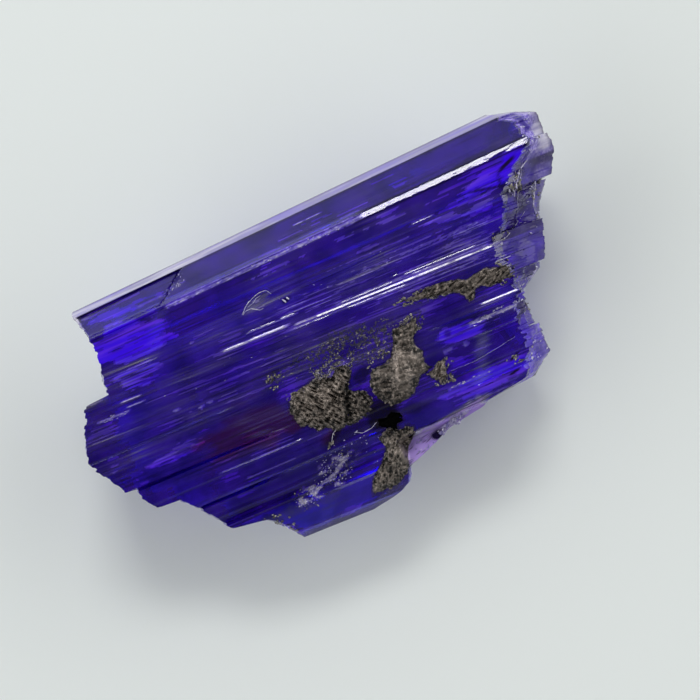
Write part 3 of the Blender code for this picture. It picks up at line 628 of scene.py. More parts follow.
def surfaceMap(points):
    # the highest point of the crystal over each cell of a fine grid; gaps take their neighbours'
    cell, margin = surfaceGrid["cell"], surfaceGrid["margin"]
    corner = points.min(axis=0)[:2] - margin * cell
    size = np.ceil((points.max(axis=0)[:2] - corner) / cell).astype(int) + margin + 2
    place = np.floor((points[:, :2] - corner) / cell).astype(int)
    heights = np.full(size, -1.0)
    np.maximum.at(heights, (place[:, 0], place[:, 1]), points[:, 2])
    for turn in range(surfaceGrid["spreads"]):
        spread = np.maximum.reduce([np.roll(heights, step, axis) for axis in (0, 1) for step in (-1, 0, 1)])
        heights = np.where(heights < 0.0, spread, heights)
        if turn == 0:
            inside = heights > 0.0
    for axis in (0, 1):
        inside = np.logical_and.reduce([np.roll(inside, step, axis=axis) for step in (-1, 0, 1)])

    def heightAt(x, y):
        u = np.clip((x - corner[0]) / cell - 0.5, 0.0, size[0] - 2.0)
        v = np.clip((y - corner[1]) / cell - 0.5, 0.0, size[1] - 2.0)
        i = np.floor(u).astype(int)
        j = np.floor(v).astype(int)
        low = heights[i, j] * (1.0 - u + i) + heights[i + 1, j] * (u - i)
        high = heights[i, j + 1] * (1.0 - u + i) + heights[i + 1, j + 1] * (u - i)
        return low * (1.0 - v + j) + high * (v - j)

    def isOnStone(x, y):
        i = np.clip(np.floor((x - corner[0]) / cell).astype(int), 0, size[0] - 1)
        j = np.clip(np.floor((y - corner[1]) / cell).astype(int), 0, size[1] - 1)
        return inside[i, j]

    return heightAt, isOnStone


def newGroup(name, inputs, outputs):  # a node group with its sockets, its input node and its output node
    group = bpy.data.node_groups.new(name, "ShaderNodeTree")
    for title, value in inputs:
        group.interface.new_socket(title, in_out="INPUT", socket_type="NodeSocketFloat").default_value = value
    for title, kind in outputs:
        group.interface.new_socket(title, in_out="OUTPUT", socket_type=kind)
    return group, group.nodes.new("NodeGroupInput"), group.nodes.new("NodeGroupOutput")


def connect(tree, socket, value):  # links a socket or sets a number or a colour
    if isinstance(value, bpy.types.NodeSocket):
        tree.links.new(value, socket)
    else:
        socket.default_value = (*value, 1.0) if isinstance(value, tuple) else value


def setSockets(tree, node, inputs):  # links or sets a node's sockets, by title or number
    for title, value in inputs.items():
        connect(tree, node.inputs[title], value)


def addNode(tree, kind, inputs={}, **settings):  # a node with these sockets and settings
    node = tree.nodes.new(kind)
    for name, value in settings.items():
        setattr(node, name, value)
    setSockets(tree, node, inputs)
    return node


def mixColor(tree, factor, first, second):  # from the first colour to the second as the factor rises
    return addNode(tree, "ShaderNodeMix", {0: factor, 6: first, 7: second}, data_type="RGBA").outputs[2]


def mathNode(tree, operation, *values, clamp=False):  # one sum over sockets or numbers
    inputs = dict(enumerate(values))
    return addNode(tree, "ShaderNodeMath", inputs, operation=operation, use_clamp=clamp).outputs[0]


def rescale(tree, value, low, high):  # 0 at low, 1 at high
    inputs = {"Value": value, "From Min": low, "From Max": high}
    return addNode(tree, "ShaderNodeMapRange", inputs).outputs["Result"]


def noiseValue(tree, vector, scale, detail):  # soft noise from 0 to 1
    inputs = {"Vector": vector, "Scale": scale, "Detail": detail}
    return addNode(tree, "ShaderNodeTexNoise", inputs).outputs["Fac"]


def readAttribute(tree, name):  # one of the masks on the mesh
    return addNode(tree, "ShaderNodeAttribute", attribute_name=name).outputs["Fac"]


def newMaterial(name, inputs):  # a Principled material with these numbers on the shader's own sockets
    material = bpy.data.materials.new(name)
    material.use_nodes = True
    shader = material.node_tree.nodes["Principled BSDF"]
    setSockets(material.node_tree, shader, inputs)
    return material, material.node_tree, shader


def bumpNormal(tree, strength, distance, height):  # the normal, tilted by a relief of this height
    inputs = {"Strength": strength, "Distance": distance, "Height": height}
    return addNode(tree, "ShaderNodeBump", inputs).outputs["Normal"]


def grainGroup():
    # fine lines along the grain: noise over object X, the line of the grain and height, stretched along X
    group, given, out = newGroup("growthLines", (("Along", 260.0), ("Across", 16000.0), ("Line", 0.0)),
                                 (("Lines", "NodeSocketFloat"), ("Height", "NodeSocketFloat")))
    place = addNode(group, "ShaderNodeTexCoord").outputs["Object"]
    parts = addNode(group, "ShaderNodeSeparateXYZ", {0: place}).outputs
    along, across, line = (given.outputs[title] for title in ("Along", "Across", "Line"))
    pairs = ((parts[0], along), (line, across), (parts[2], along))
    stretched = [mathNode(group, "MULTIPLY", *pair) for pair in pairs]
    joined = addNode(group, "ShaderNodeCombineXYZ", dict(enumerate(stretched)))
    value = noiseValue(group, joined.outputs[0], 1.0, 3.0)
    setSockets(group, out, {"Lines": rescale(group, value, 0.46, 0.66), "Height": value})
    return group


# crystal colours, from its depths to its pale thin places, with painted glow and shade; noises: scale and
# detail
crystalColors = dict(
    deep=(0.035, 0.002, 0.5), middle=(0.105, 0.018, 1.0), bright=(0.045, 0.0, 1.0),
    brightest=(0.13, 0.025, 1.0), milky=(0.3, 0.21, 0.75), chalky=(0.7, 0.66, 0.84),
    burgundy=(0.11, 0.004, 0.22), film=(0.115, 0.105, 0.105), crackAndShade=(0.01, 0.002, 0.05),
    abyss=(0.03, 0.008, 0.26), paleShade=(0.38, 0.35, 0.56), paleGrey=(0.76, 0.73, 0.85),
    plateGlowLilac=(0.58, 0.4, 1.0), lilac=(0.42, 0.34, 0.8), violet=(0.1, 0.05, 0.5),
    softBlue=(0.26, 0.2, 0.8),
)
crystalNoises = dict(cloud=(1100.0, 5.0), depth=(1700.0, 3.0), grit=(11000.0, 3.0))
crystalMasks = ("Haze", "Glow", "Purple", "Chalkglint", "Soot", "Dark", "Pale", "Ends")


def crystalColorGroup():
    # body colour, each layer over the one before: deep violet blue, brighter where a glow of light is
    # painted, a reddish zone, milky growth lines, broken ends, a grainy film of graphite, pale thin places,
    # whitish grains that are partly painted glints, and dark cracks with painted shade
    titles = (*crystalMasks, "Lines", "Coarse Lines")
    group, given, out = newGroup("crystalColor", [(title, 0.0) for title in titles],
                                 (("Color", "NodeSocketColor"), ("Roughness", "NodeSocketFloat")))
    mask, tint = given.outputs, crystalColors
    place = addNode(group, "ShaderNodeTexCoord").outputs["Object"]
    noise = {name: noiseValue(group, place, *numbers) for name, numbers in crystalNoises.items()}

    def tintBetween(source, low, high, first, second):  # first to second as the source rises
        return mixColor(group, rescale(group, source, low, high), tint[first], tint[second])

    streak = mathNode(group, "MULTIPLY_ADD", mask["Lines"], 0.55, 0.1)
    streak = mathNode(group, "MULTIPLY_ADD", mask["Coarse Lines"], 0.35, streak)
    haze = mathNode(group, "MULTIPLY", mask["Haze"], streak, clamp=True)
    soot = mathNode(group, "MULTIPLY", mask["Soot"], rescale(group, noise["grit"], 0.47, 0.6), clamp=True)
    speckle = mathNode(group, "MULTIPLY_ADD", rescale(group, noise["grit"], 0.42, 0.58), 0.5, 0.5)
    chalkglint = mathNode(group, "MULTIPLY", mask["Chalkglint"], speckle, clamp=True)
    broken = tintBetween(noise["grit"], 0.4, 0.62, "violet", "lilac")
    color = tintBetween(noise["cloud"], 0.38, 0.62, "deep", "middle")
    for share, layer in (
            (mask["Glow"], mixColor(group, mask["Coarse Lines"], tint["bright"], tint["brightest"])),
            (mask["Purple"], tint["burgundy"]),
            (haze, tintBetween(haze, 0.55, 0.95, "milky", "chalky")),
            (mask["Ends"], mixColor(group, rescale(group, noise["depth"], 0.4, 0.58), tint["abyss"], broken)),
            (soot, tint["film"]),
            (mask["Pale"], mixColor(group, mask["Coarse Lines"], tint["paleShade"], tint["paleGrey"])),
            (rescale(group, mask["Pale"], 1.0, 2.0), tint["plateGlowLilac"]),
            (chalkglint, tintBetween(mask["Chalkglint"], 0.35, 0.8, "softBlue", "chalky")),
            (mask["Dark"], tint["crackAndShade"])):
        color = mixColor(group, share, color, layer)
    rough = mathNode(group, "MULTIPLY_ADD", haze, 0.25, 0.05)
    for share, most in ((soot, 0.45), (mask["Ends"], 0.12)):
        rough = mathNode(group, "MAXIMUM", rough, mathNode(group, "MULTIPLY", share, most))
    setSockets(group, out, {"Color": color, "Roughness": rough})
    return group


def crystalMaterial(name, look):  # shared colour, lines and volume; one look's clearness and relief
    material, tree, shader = newMaterial(name, {
        "IOR": look["ior"], "Transmission Weight": look["transmission"], "Specular IOR Level": look["shine"]})
    line = readAttribute(tree, "grainLine")
    fine, coarse = (addNode(tree, "ShaderNodeGroup", node_tree=growthLines) for _ in range(2))
    for node, (along, across) in ((fine, look["fineLines"]), (coarse, look["coarseLines"])):
        setSockets(tree, node, {"Along": along, "Across": across, "Line": line})
    body = addNode(tree, "ShaderNodeGroup", node_tree=crystalColor)
    setSockets(tree, body, {title: readAttribute(tree, title.lower()) for title in crystalMasks})
    setSockets(tree, body, {"Lines": fine.outputs["Lines"], "Coarse Lines": coarse.outputs["Lines"]})
    relief = mathNode(tree, "MULTIPLY_ADD", readAttribute(tree, "haze"), 0.75, 0.25)
    height = mathNode(tree, "MULTIPLY", fine.outputs["Height"], relief)
    setSockets(tree, shader, {
        "Base Color": body.outputs["Color"], "Roughness": body.outputs["Roughness"],
        "Normal": bumpNormal(tree, look["bump"], look["bumpHeight"], height)})
    inside = addNode(tree, "ShaderNodeVolumeAbsorption", {
        "Color": look["absorbColor"], "Density": look["absorbDensity"]})
    setSockets(tree, tree.nodes["Material Output"], {"Volume": inside.outputs[0]})
    return material


# how clear the crystal is: the share of light let through, the relief of the finest lines, the highlights
crystalLook = dict(
    ior=1.69, shine=0.5, fineLines=(420.0, 17000.0), coarseLines=(330.0, 5200.0), bumpHeight=0.00001,
    absorbColor=(0.41, 0.03, 0.94), absorbDensity=1600.0,
)
tanzaniteLooks = dict(
    clearTanzanite=dict(crystalLook, transmission=0.8, bump=0.22),
    cloudyTanzanite=dict(crystalLook, transmission=0.52, bump=0.3),
    frostedTanzanite=dict(crystalLook, transmission=0.25, bump=0.4),
    fracturedTanzanite=dict(crystalLook, transmission=0.22, bump=0.5, shine=0.12),
)

# graphite patches on the front: middle, height above the face, turn, length and width of the grains and their
# relief, a valley between two lobes, outline (clockwise)
graphite = dict(
    graphiteCrustLeft=dict(
        node="graphite_crust_left", centre=(-0.85, -1.25), rise=0.16, fibres=(-52, 0.15, 0.06), relief=0.042,
        valley=(-0.25, -0.95, -0.65, -2.05),
        outline=(
            (-1.91, -0.5), (-1.5, -0.43), (-0.88, -0.36), (-0.53, -0.5), (-0.29, -0.3), (-0.01, -0.34),
            (0.12, -0.55), (-0.1, -0.85), (-0.2, -1.06), (-0.05, -1.17), (0.23, -1.3), (0.4, -1.64),
            (0.24, -1.9), (0.0, -2.08), (-0.36, -2.12), (-0.75, -2.1), (-1.03, -2.13), (-1.33, -1.88),
            (-1.57, -1.9), (-1.81, -1.6), (-2.12, -1.55), (-2.15, -1.14), (-2.05, -0.79))),
    graphiteCrustMiddle=dict(
        node="graphite_crust_middle", centre=(1.3, -1.25), rise=0.2, fibres=(-10, 0.26, 0.1), relief=0.018,
        outline=(
            (1.62, 0.1), (1.98, 0.08), (2.42, 0.12), (2.39, -0.1), (2.08, -0.26), (2.1, -0.63),
            (2.19, -0.91), (2.15, -1.23), (2.3, -1.45), (1.9, -1.57), (1.63, -1.85), (1.34, -2.07),
            (0.92, -2.13), (0.57, -2.03), (0.39, -1.75), (0.29, -1.41), (0.34, -1.09), (0.56, -0.79),
            (0.97, -0.77), (1.25, -0.66), (1.42, -0.4))),
    graphiteCrustLower=dict(
        node="graphite_crust_lower", centre=(0.2, -3.45), rise=0.12, fibres=(60, 0.12, 0.08), relief=0.03,
        valley=(0.1, -2.75, 0.9, -2.75),
        outline=(
            (0.1, -2.62), (0.4, -2.55), (0.67, -2.71), (0.95, -2.68), (1.14, -2.91), (1.01, -3.16),
            (0.72, -3.38), (0.54, -3.79), (0.47, -4.06), (0.18, -4.28), (-0.29, -4.44), (-0.62, -4.4),
            (-0.91, -4.33), (-0.84, -4.1), (-0.67, -3.8), (-0.3, -3.51), (-0.02, -3.17), (0.12, -2.94),
            (-0.04, -2.78))),
    graphiteStreakUpper=dict(
        node="graphite_streak_upper", centre=(4.15, 0.36), rise=0.07, fibres=(20, 0.2, 0.06), relief=0.032,
        outline=(
            (1.95, 0.68), (2.44, 0.67), (2.62, 0.8), (3.0, 0.78), (3.42, 0.74), (3.92, 0.62),
            (4.13, 0.49), (4.45, 0.57), (4.79, 0.6), (5.23, 0.47), (5.69, 0.38), (5.68, 0.18),
            (5.43, 0.03), (5.14, -0.04), (4.75, -0.02), (4.55, 0.14), (4.3, 0.1), (4.14, -0.16),
            (3.95, -0.19), (3.86, 0.08), (3.7, 0.24), (3.36, 0.34), (2.95, 0.43), (2.67, 0.47),
            (2.34, 0.57))),
    graphitePatchRight=dict(
        node="graphite_patch_right", centre=(2.42, -1.68), rise=0.06, fibres=(50, 0.16, 0.07), relief=0.045,
        outline=(
            (2.46, -1.34), (2.69, -1.4), (2.6, -1.64), (2.58, -1.95), (2.28, -2.06), (2.14, -1.8),
            (1.98, -1.58), (2.24, -1.52))),
    # a nearly black sheet without highlights: graphite, and painted shade of a pit between the patches
    graphiteHollowShade=dict(
        node=None, centre=(0.52, -2.42), rise=0.01, fibres=(0, 0.1, 0.05), relief=0.004,
        outline=(
            (0.1, -2.18), (0.4, -2.26), (0.66, -2.14), (0.94, -2.32), (0.9, -2.6), (0.68, -2.62),
            (0.6, -2.92), (0.38, -2.96), (0.42, -2.66), (0.24, -2.56), (0.02, -2.44))),
)
crustMesh = dict(
    spokes=180, rings=46, underRings=(0.66, 0.33), sink=0.05, under=0.08, fray=0.045, domePower=2.5,
    edgePower=8, valleyWidth=0.08, valleyDepth=0.6,
)


def pathReach(path):  # how far along a path each of its points lies
    return np.concatenate(([0.0], np.cumsum(np.hypot(*np.diff(path, axis=0).T))))


def pathPoints(path, at):  # the places on a path at these distances along it
    return np.stack([np.interp(at, pathReach(path), path[:, k]) for k in (0, 1)], axis=1)


def segmentDistance(x, y, fromX, fromY, toX, toY):  # how far a place is from a straight stretch
    wayX, wayY = toX - fromX, toY - fromY
    share = np.clip(((x - fromX) * wayX + (y - fromY) * wayY) / (wayX ** 2 + wayY ** 2), 0.0, 1.0)
    return np.hypot(x - fromX - share * wayX, y - fromY - share * wayY)


def makeCrust(name, patch, heightAt, material):
    # rings from the patch's middle out to its outline: a low dome with lumps and long grains, closed below
    corners = patch["outline"][::-1]
    outline = np.array(corners + corners[:1])
    count = crustMesh["spokes"]
    at = np.arange(count) / count * pathReach(outline)[-1]
    centre = np.array(patch["centre"])
    fray = 1.0 + crustMesh["fray"] * (latticeNoise(at / 0.16, 0.5, 51) + latticeNoise(at / 0.07, 0.5, 52))
    rim = centre + (pathPoints(outline, at) - centre) * fray[:, None]

    def ringPoints(shares):
        return centre + (rim[None, :, :] - centre) * np.asarray(shares)[:, None, None]

    shares = np.linspace(0.0, 1.0, crustMesh["rings"] + 1)[1:]
    top = ringPoints(shares)
    x, y = top[..., 0], top[..., 1]
    turn, length, width = patch["fibres"]
    along, across = turned(x, y, turn)
    along, across = along / length, across / width
    grains = 1.0 - 2.0 * np.abs(latticeNoise(along, across, 53))
    grains = grains + 0.6 * latticeNoise(along * 2.3, across * 2.1, 54)
    lumps = 1.0 + 0.5 * pattern("crustLumps", x, y)
    valley = 0.0
    if "valley" in patch:
        valley = bell(segmentDistance(x, y, *patch["valley"]), crustMesh["valleyWidth"])
    edge = 1.0 - shares[:, None] ** crustMesh["edgePower"]
    dome = patch["rise"] * lumps * (1.0 - shares[:, None] ** crustMesh["domePower"])
    z = heightAt(x, y) + dome * (1.0 - crustMesh["valleyDepth"] * valley)
    z = z + patch["relief"] * grains * edge - crustMesh["sink"] * (1.0 - edge)
    under = ringPoints(crustMesh["underRings"])
    underZ = heightAt(under[..., 0], under[..., 1]) - crustMesh["under"]
    middleZ = heightAt(*centre)
    points = np.concatenate((
        [[*centre, middleZ + patch["rise"]]], np.dstack((top, z)).reshape(-1, 3),
        np.dstack((under, underZ)).reshape(-1, 3), [[*centre, middleZ - crustMesh["under"]]]))
    index = np.arange(1, len(points) - 1).reshape(-1, count)
    following = np.roll(index, -1, axis=1)
    cap = np.stack((np.zeros(count, dtype=int), index[0], following[0]), axis=1)
    quads = ringQuads(index)[:, [0, 3, 2, 1]]  # turned over, because the rings run outwards
    floor = np.stack((np.full(count, len(points) - 1), following[-1], index[-1]), axis=1)
    piece = newPiece(name, points, cap.tolist() + quads.tolist() + floor.tolist(), (material,))
    tone = np.full(len(points), 0.5)
    # painted shade and highlight: lighter on the grains' ridges and the lumps, darker in their low parts, in
    # the valley and towards the rim
    shade = 0.22 + 0.38 * grains - 0.8 * valley + 0.5 * (lumps - 0.8) - 0.7 * shares[:, None] ** 5
    tone[1:1 + z.size] = np.clip(shade, 0.0, 1.0).ravel()
    addAttribute(piece.data, "tone", tone)
    return piece


# loose scales and grains: the spread of their sizes, corners, turns and tilts, how far a rim may hang below
# the middle and how far the middle stands up; then the fields: x, y, half length, half width, turn, count,
# size, length to width
scaleShape = dict(
    corners=7, sizes=(0.45, 1.5), cornerShift=0.3, reach=(0.6, 1.25), turnSpread=0.5, tiltSpread=0.35,
    hang=0.06, dome=0.25,
)
graphiteGrains = dict(
    seed=61, lift=0.012, clump=(0.22, 0.09), clumpAbove=0.08,
    fields=(
        (-0.55, -0.42, 0.75, 0.3, 8, 620, 0.015, 1.8), (0.2, 0.05, 1.9, 0.42, 3, 900, 0.009, 2.8),
        (-2.03, 0.08, 0.4, 0.28, 40, 120, 0.02, 2.0), (2.2, -0.06, 0.42, 0.26, 20, 220, 0.022, 1.5),
        (3.0, 0.55, 1.15, 0.2, -6, 240, 0.022, 1.8), (5.2, 0.25, 0.65, 0.35, 0, 160, 0.026, 1.4),
        (-1.9, -0.75, 0.45, 0.3, 20, 90, 0.022, 1.8), (0.9, -0.45, 0.55, 0.3, 30, 140, 0.018, 1.8),
        (2.5, -1.75, 0.45, 0.42, 60, 200, 0.024, 1.5), (-2.65, -3.55, 0.45, 0.4, 30, 90, 0.018, 1.4),
        (-1.45, -3.05, 0.55, 0.5, 30, 70, 0.015, 1.4), (-3.7, -4.0, 0.55, 0.3, -35, 160, 0.028, 1.4),
        (6.55, 2.4, 0.42, 0.22, 60, 120, 0.028, 1.8), (7.15, 1.85, 0.16, 0.8, -22, 90, 0.024, 2.4),
        (7.8, 3.55, 0.12, 0.25, 0, 30, 0.03, 1.3), (5.55, 1.25, 0.28, 0.25, 40, 60, 0.022, 1.3),
        (5.75, -0.85, 0.15, 0.35, -10, 40, 0.026, 1.3), (5.4, -2.2, 0.3, 0.25, 30, 40, 0.024, 1.3),
        (4.5, -2.3, 0.5, 0.2, 20, 60, 0.018, 2.0), (-0.88, 1.99, 0.13, 0.09, 20, 50, 0.018, 1.3),
        (-1.3, -2.2, 0.35, 0.1, 50, 80, 0.014, 3.0)))
paleScales = dict(
    seed=62, lift=0.01, clump=(0.18, 0.08), clumpAbove=-0.2,
    fields=(
        (4.7, -0.72, 0.62, 0.09, 2, 150, 0.02, 1.8), (3.15, -2.24, 0.65, 0.05, 0, 50, 0.012, 2.2),
        (-1.55, -3.1, 0.6, 0.45, 30, 130, 0.014, 1.5), (-2.55, -3.5, 0.5, 0.32, 20, 100, 0.014, 1.5),
        (-0.45, -0.3, 0.6, 0.2, 10, 70, 0.013, 1.6), (-3.55, 3.76, 0.3, 0.14, 40, 25, 0.012, 1.6),
        (7.55, 3.35, 0.35, 1.0, -15, 60, 0.024, 1.8), (7.1, 1.9, 0.25, 0.9, -22, 60, 0.026, 2.6),
        (6.5, 2.55, 0.4, 0.22, 60, 60, 0.028, 1.8), (5.98, -0.15, 0.4, 0.12, 25, 80, 0.026, 1.8),
        (6.3, 0.5, 0.3, 0.6, -20, 10, 0.022, 1.6), (5.65, -1.4, 0.2, 0.9, 0, 16, 0.02, 1.6),
        (5.4, -2.3, 0.4, 0.3, 30, 50, 0.03, 1.6), (5.35, 1.15, 0.2, 0.2, 30, 30, 0.035, 1.3),
        (2.05, -3.33, 0.55, 0.16, 15, 150, 0.024, 1.8), (1.15, -3.55, 0.3, 0.3, 15, 50, 0.02, 1.4),
        (-6.8, 0.9, 0.5, 0.08, 0, 30, 0.008, 3.5), (0.0, 3.31, 2.2, 0.07, 1, 110, 0.008, 2.4),
        (-3.6, 0.9, 2.6, 0.5, 2, 20, 0.007, 3.0), (1.0, 2.1, 3.2, 0.3, -1, 20, 0.007, 2.6),
        (-1.0, -2.9, 1.4, 0.6, 10, 60, 0.014, 1.4)))


def makeScales(name, kind, heightAt, isOnStone, material):
    # thin irregular scales: a raised middle, corners just above the face and a sunk underside
    rng = np.random.default_rng(kind["seed"])
    corners = scaleShape["corners"]
    rows = []
    for atX, atY, halfLength, halfWidth, turn, count, size, ratio in kind["fields"]:
        reach = np.sqrt(rng.uniform(0.0, 1.0, count))
        angle = rng.uniform(0.0, 2.0 * math.pi, count)
        x, y = turned(halfLength * reach * np.cos(angle), halfWidth * reach * np.sin(angle), -turn)
        sizes = size * rng.uniform(*scaleShape["sizes"], count)
        rows.append(np.stack(np.broadcast_arrays(atX + x, atY + y, sizes, ratio, math.radians(turn)), axis=1))
    x, y, size, ratio, turn = np.concatenate(rows).T
    clumpX, clumpY = kind["clump"]
    kept = (latticeNoise(x / clumpX, y / clumpY, kind["seed"]) > kind["clumpAbove"]) & isOnStone(x, y)
    x, y, size, ratio, turn = (values[kept, None] for values in (x, y, size, ratio, turn))
    count = len(x)
    shift = rng.uniform(-scaleShape["cornerShift"], scaleShape["cornerShift"], (count, corners))
    angle = (np.arange(corners) + shift) * 2.0 * math.pi / corners
    radius = size * rng.uniform(*scaleShape["reach"], (count, corners))
    lean = turn + rng.normal(0.0, scaleShape["turnSpread"], (count, 1))
    along, across = radius * np.cos(angle) * ratio, radius * np.sin(angle)
    rimX = x + along * np.cos(lean) - across * np.sin(lean)
    rimY = y + along * np.sin(lean) + across * np.cos(lean)
    tiltX, tiltY = rng.normal(0.0, scaleShape["tiltSpread"], (2, count, 1))
    rimZ = np.maximum(heightAt(rimX, rimY), heightAt(x, y) - scaleShape["hang"])
    rimZ = rimZ + scaleShape["dome"] * kind["lift"] + np.abs(tiltX * (rimX - x) + tiltY * (rimY - y))
    top = np.stack((x, y, heightAt(x, y) + kind["lift"] + scaleShape["dome"] * size), axis=2)
    bottom = np.stack((x, y, heightAt(x, y) - kind["lift"]), axis=2)
    points = np.concatenate((top, np.stack((rimX, rimY, rimZ), axis=2), bottom), axis=1)
    start = (np.arange(count) * (corners + 2))[:, None]
    step = np.arange(corners)[None, :]
    following = 1 + (step + 1) % corners
    upper = np.stack(np.broadcast_arrays(start, start + 1 + step, start + following), axis=2)
    lower = np.stack(np.broadcast_arrays(start + corners + 1, start + following, start + 1 + step), axis=2)
    faces = np.concatenate((upper, lower), axis=1).reshape(-1, 3).tolist()
    piece = newPiece(name, points.reshape(-1, 3), faces, (material,))
    addAttribute(piece.data, "tone", np.repeat(rng.uniform(0.0, 1.0, count), corners + 2))
    return piece


# thin raised rims, scratches and fibres, partly painted sparkle: radius at the middle, points along the path
rims = dict(
    sides=6, spacing=0.03, lift=0.002, wander=0.012, wanderLength=0.12, uneven=0.5, unevenLength=0.06,
    paths=(
        (0.009, ((-2.21, 2.13), (-2.05, 2.28), (-1.88, 2.4), (-1.51, 2.53), (-1.3, 2.5), (-1.2, 2.36))),
        (0.008, ((-2.2, 2.12), (-2.05, 2.19), (-1.9, 2.2), (-1.7, 2.06), (-1.57, 2.05))),
        (0.005, ((-1.98, 2.28), (-1.8, 2.3), (-1.66, 2.4), (-1.5, 2.44))),
        (0.024, ((-0.97, 2.08), (-0.9, 1.95))), (0.02, ((-0.84, 2.1), (-0.79, 2.01))),
        (0.007, ((-1.36, -2.35), (-1.2, -2.1), (-0.95, -1.92))),
        (0.008, ((-0.62, -2.3), (-0.4, -2.42), (-0.1, -2.4), (0.12, -2.3))),
        (0.003, ((-4.6, -1.86), (-3.4, -1.88), (-2.2, -1.9))),
        (0.008, ((5.2, 1.12), (5.7, 1.15), (6.3, 1.45), (6.9, 1.8))),
        (0.008, ((6.3, 1.42), (6.45, 2.0), (6.8, 2.6), (7.05, 3.0))),
        (0.008, ((6.35, 1.42), (6.75, 1.3), (7.1, 1.32))),
        (0.008, ((5.1, 0.62), (5.8, 0.6), (6.6, 0.72))),
        (0.035, ((7.38, 2.55), (7.15, 2.1), (6.9, 1.55), (6.72, 1.05))),
        (0.022, ((6.4, 2.15), (6.58, 2.45), (6.85, 2.8), (7.2, 3.0))),
        (0.003, ((2.72, -1.78), (3.4, -1.8), (4.2, -1.72), (5.1, -1.58))),
        (0.005, ((0.7, -3.05), (1.4, -3.08), (2.4, -3.1), (3.4, -3.08)))),
)


def makeRims(name, heightAt, material):  # round profiles carried along paths, tapering to both ends
    allPoints, allFaces, start = [], [], 0
    angle = np.arange(rims["sides"]) * 2.0 * math.pi / rims["sides"]
    for radius, path in rims["paths"]:
        path = np.array(path)
        length = pathReach(path)[-1]
        count = max(4, int(length / rims["spacing"]))
        at = np.linspace(0.0, length, count)
        row = radius * 900.0  # each radius reads its own row of the noise
        middle = pathPoints(path, at)
        middle[:, 1] += rims["wander"] * latticeNoise(at / rims["wanderLength"], row, 71)
        heading = np.gradient(middle, axis=0)
        heading /= np.hypot(*heading.T)[:, None]
        thick = radius * (0.25 + 0.75 * np.sin(math.pi * np.linspace(0.02, 0.98, count)) ** 0.5)
        thick = thick * (1.0 + rims["uneven"] * latticeNoise(at / rims["unevenLength"], row, 72))
        sideways = thick[:, None] * np.cos(angle)
        x = middle[:, :1] - heading[:, 1:] * sideways
        y = middle[:, 1:] + heading[:, :1] * sideways
        z = heightAt(*middle.T)[:, None] + rims["lift"] + thick[:, None] * np.sin(angle)
        index = start + np.arange(x.size).reshape(x.shape)
        allPoints.append(np.stack((x, y, z), axis=2).reshape(-1, 3))
        allFaces += ringQuads(index).tolist() + [index[0][::-1].tolist(), index[-1].tolist()]
        start += x.size
    piece = newPiece(name, np.concatenate(allPoints), allFaces, (material,))
    # the lightest tone all over: partly a painted highlight
    addAttribute(piece.data, "tone", np.full(start, 1.0))
    piece.data.shade_smooth()
    return piece


# grainy materials: two tones, how metallic, roughness, strength of the highlights
grainLooks = dict(
    graphiteCrystals=dict(
        tones=((0.002, 0.002, 0.002), (0.4, 0.335, 0.29)), metallic=0.65, roughness=(0.2, 0.42), shine=0.5),
    graphiteGrain=dict(
        tones=((0.02, 0.017, 0.016), (0.4, 0.37, 0.335)), metallic=0.65, roughness=(0.22, 0.45), shine=0.5),
    blackGraphiteShade=dict(
        tones=((0.0005, 0.0005, 0.0005), (0.003, 0.003, 0.003)), metallic=0.0, roughness=(0.8, 1.0),
        shine=0.0),
    brokenTanzanite=dict(
        tones=((0.12, 0.09, 0.38), (0.72, 0.69, 0.8)), metallic=0.0, roughness=(0.2, 0.45), shine=0.5),
)
# their noises: scale and detail, the range used, relief; shares of the noise and of each grain's own tone
grainNoise = dict(
    tone=(12000.0, 5.0), toneRange=(0.48, 0.7), patches=(4000.0, 2.0), patchRange=(0.35, 0.65),
    relief=(22000.0, 3.0), bump=0.8, bumpHeight=0.00002, noiseShare=0.45, grainShare=0.6,
)


def grainMaterial(name, look):  # one noise for the tone, one for the roughness, one for the relief
    material, tree, shader = newMaterial(name, {
        "Metallic": look["metallic"], "Specular IOR Level": look["shine"]})
    place = addNode(tree, "ShaderNodeTexCoord").outputs["Object"]
    kinds = ("tone", "patches", "relief")
    tone, patches, relief = (noiseValue(tree, place, *grainNoise[kind]) for kind in kinds)
    tone = mathNode(tree, "MULTIPLY", rescale(tree, tone, *grainNoise["toneRange"]), grainNoise["noiseShare"])
    tone = mathNode(tree, "MULTIPLY_ADD", readAttribute(tree, "tone"), grainNoise["grainShare"], tone)
    patches = rescale(tree, patches, *grainNoise["patchRange"])
    low, high = look["roughness"]
    setSockets(tree, shader, {
        "Base Color": mixColor(tree, tone, *look["tones"]),
        "Roughness": mathNode(tree, "MULTIPLY_ADD", patches, high - low, low),
        "Normal": bumpNormal(tree, grainNoise["bump"], grainNoise["bumpHeight"], relief)})
    return material


# light: a long soft key where the narrow facets mirror it, and a pale room
studio = dict(
    keyAngle=41.2, keyDistance=0.26, keySize=(0.11, 0.055), keyPower=0.22, keyShift=0.042,
    keyTarget=(0.0, 0.0, 0.004), keyColor=(1.0, 0.99, 0.97),
    roomColor=(0.95, 0.99, 1.0), roomStrength=2.4,
    roomStops=((0.0, 0.3), (0.5, 0.62), (0.66, 0.5), (0.8, 0.13), (1.0, 0.1)),
    # brighter or darker parts of the room: direction, where it starts and is full, level
    roomParts=(
        ((1.0, 0.0, 0.0), 0.48, 0.85, 0.95), ((-1.0, 0.0, 0.0), 0.48, 0.85, 1.05),
        ((0.0, -0.98, 0.2), 0.8, 0.96, 0.12), ((0.0, -0.25, 0.97), 0.55, 0.85, 0.02)),
    floorColor=(0.83, 0.875, 0.86), floorRoughness=0.85, floorLevel=-0.04, floorHalf=600.0,
    viewWidth=20.7, lens=100.0, sensor=36.0, viewLevel=3.6, viewX=0.24, viewY=-0.04, roll=-23.5,
)


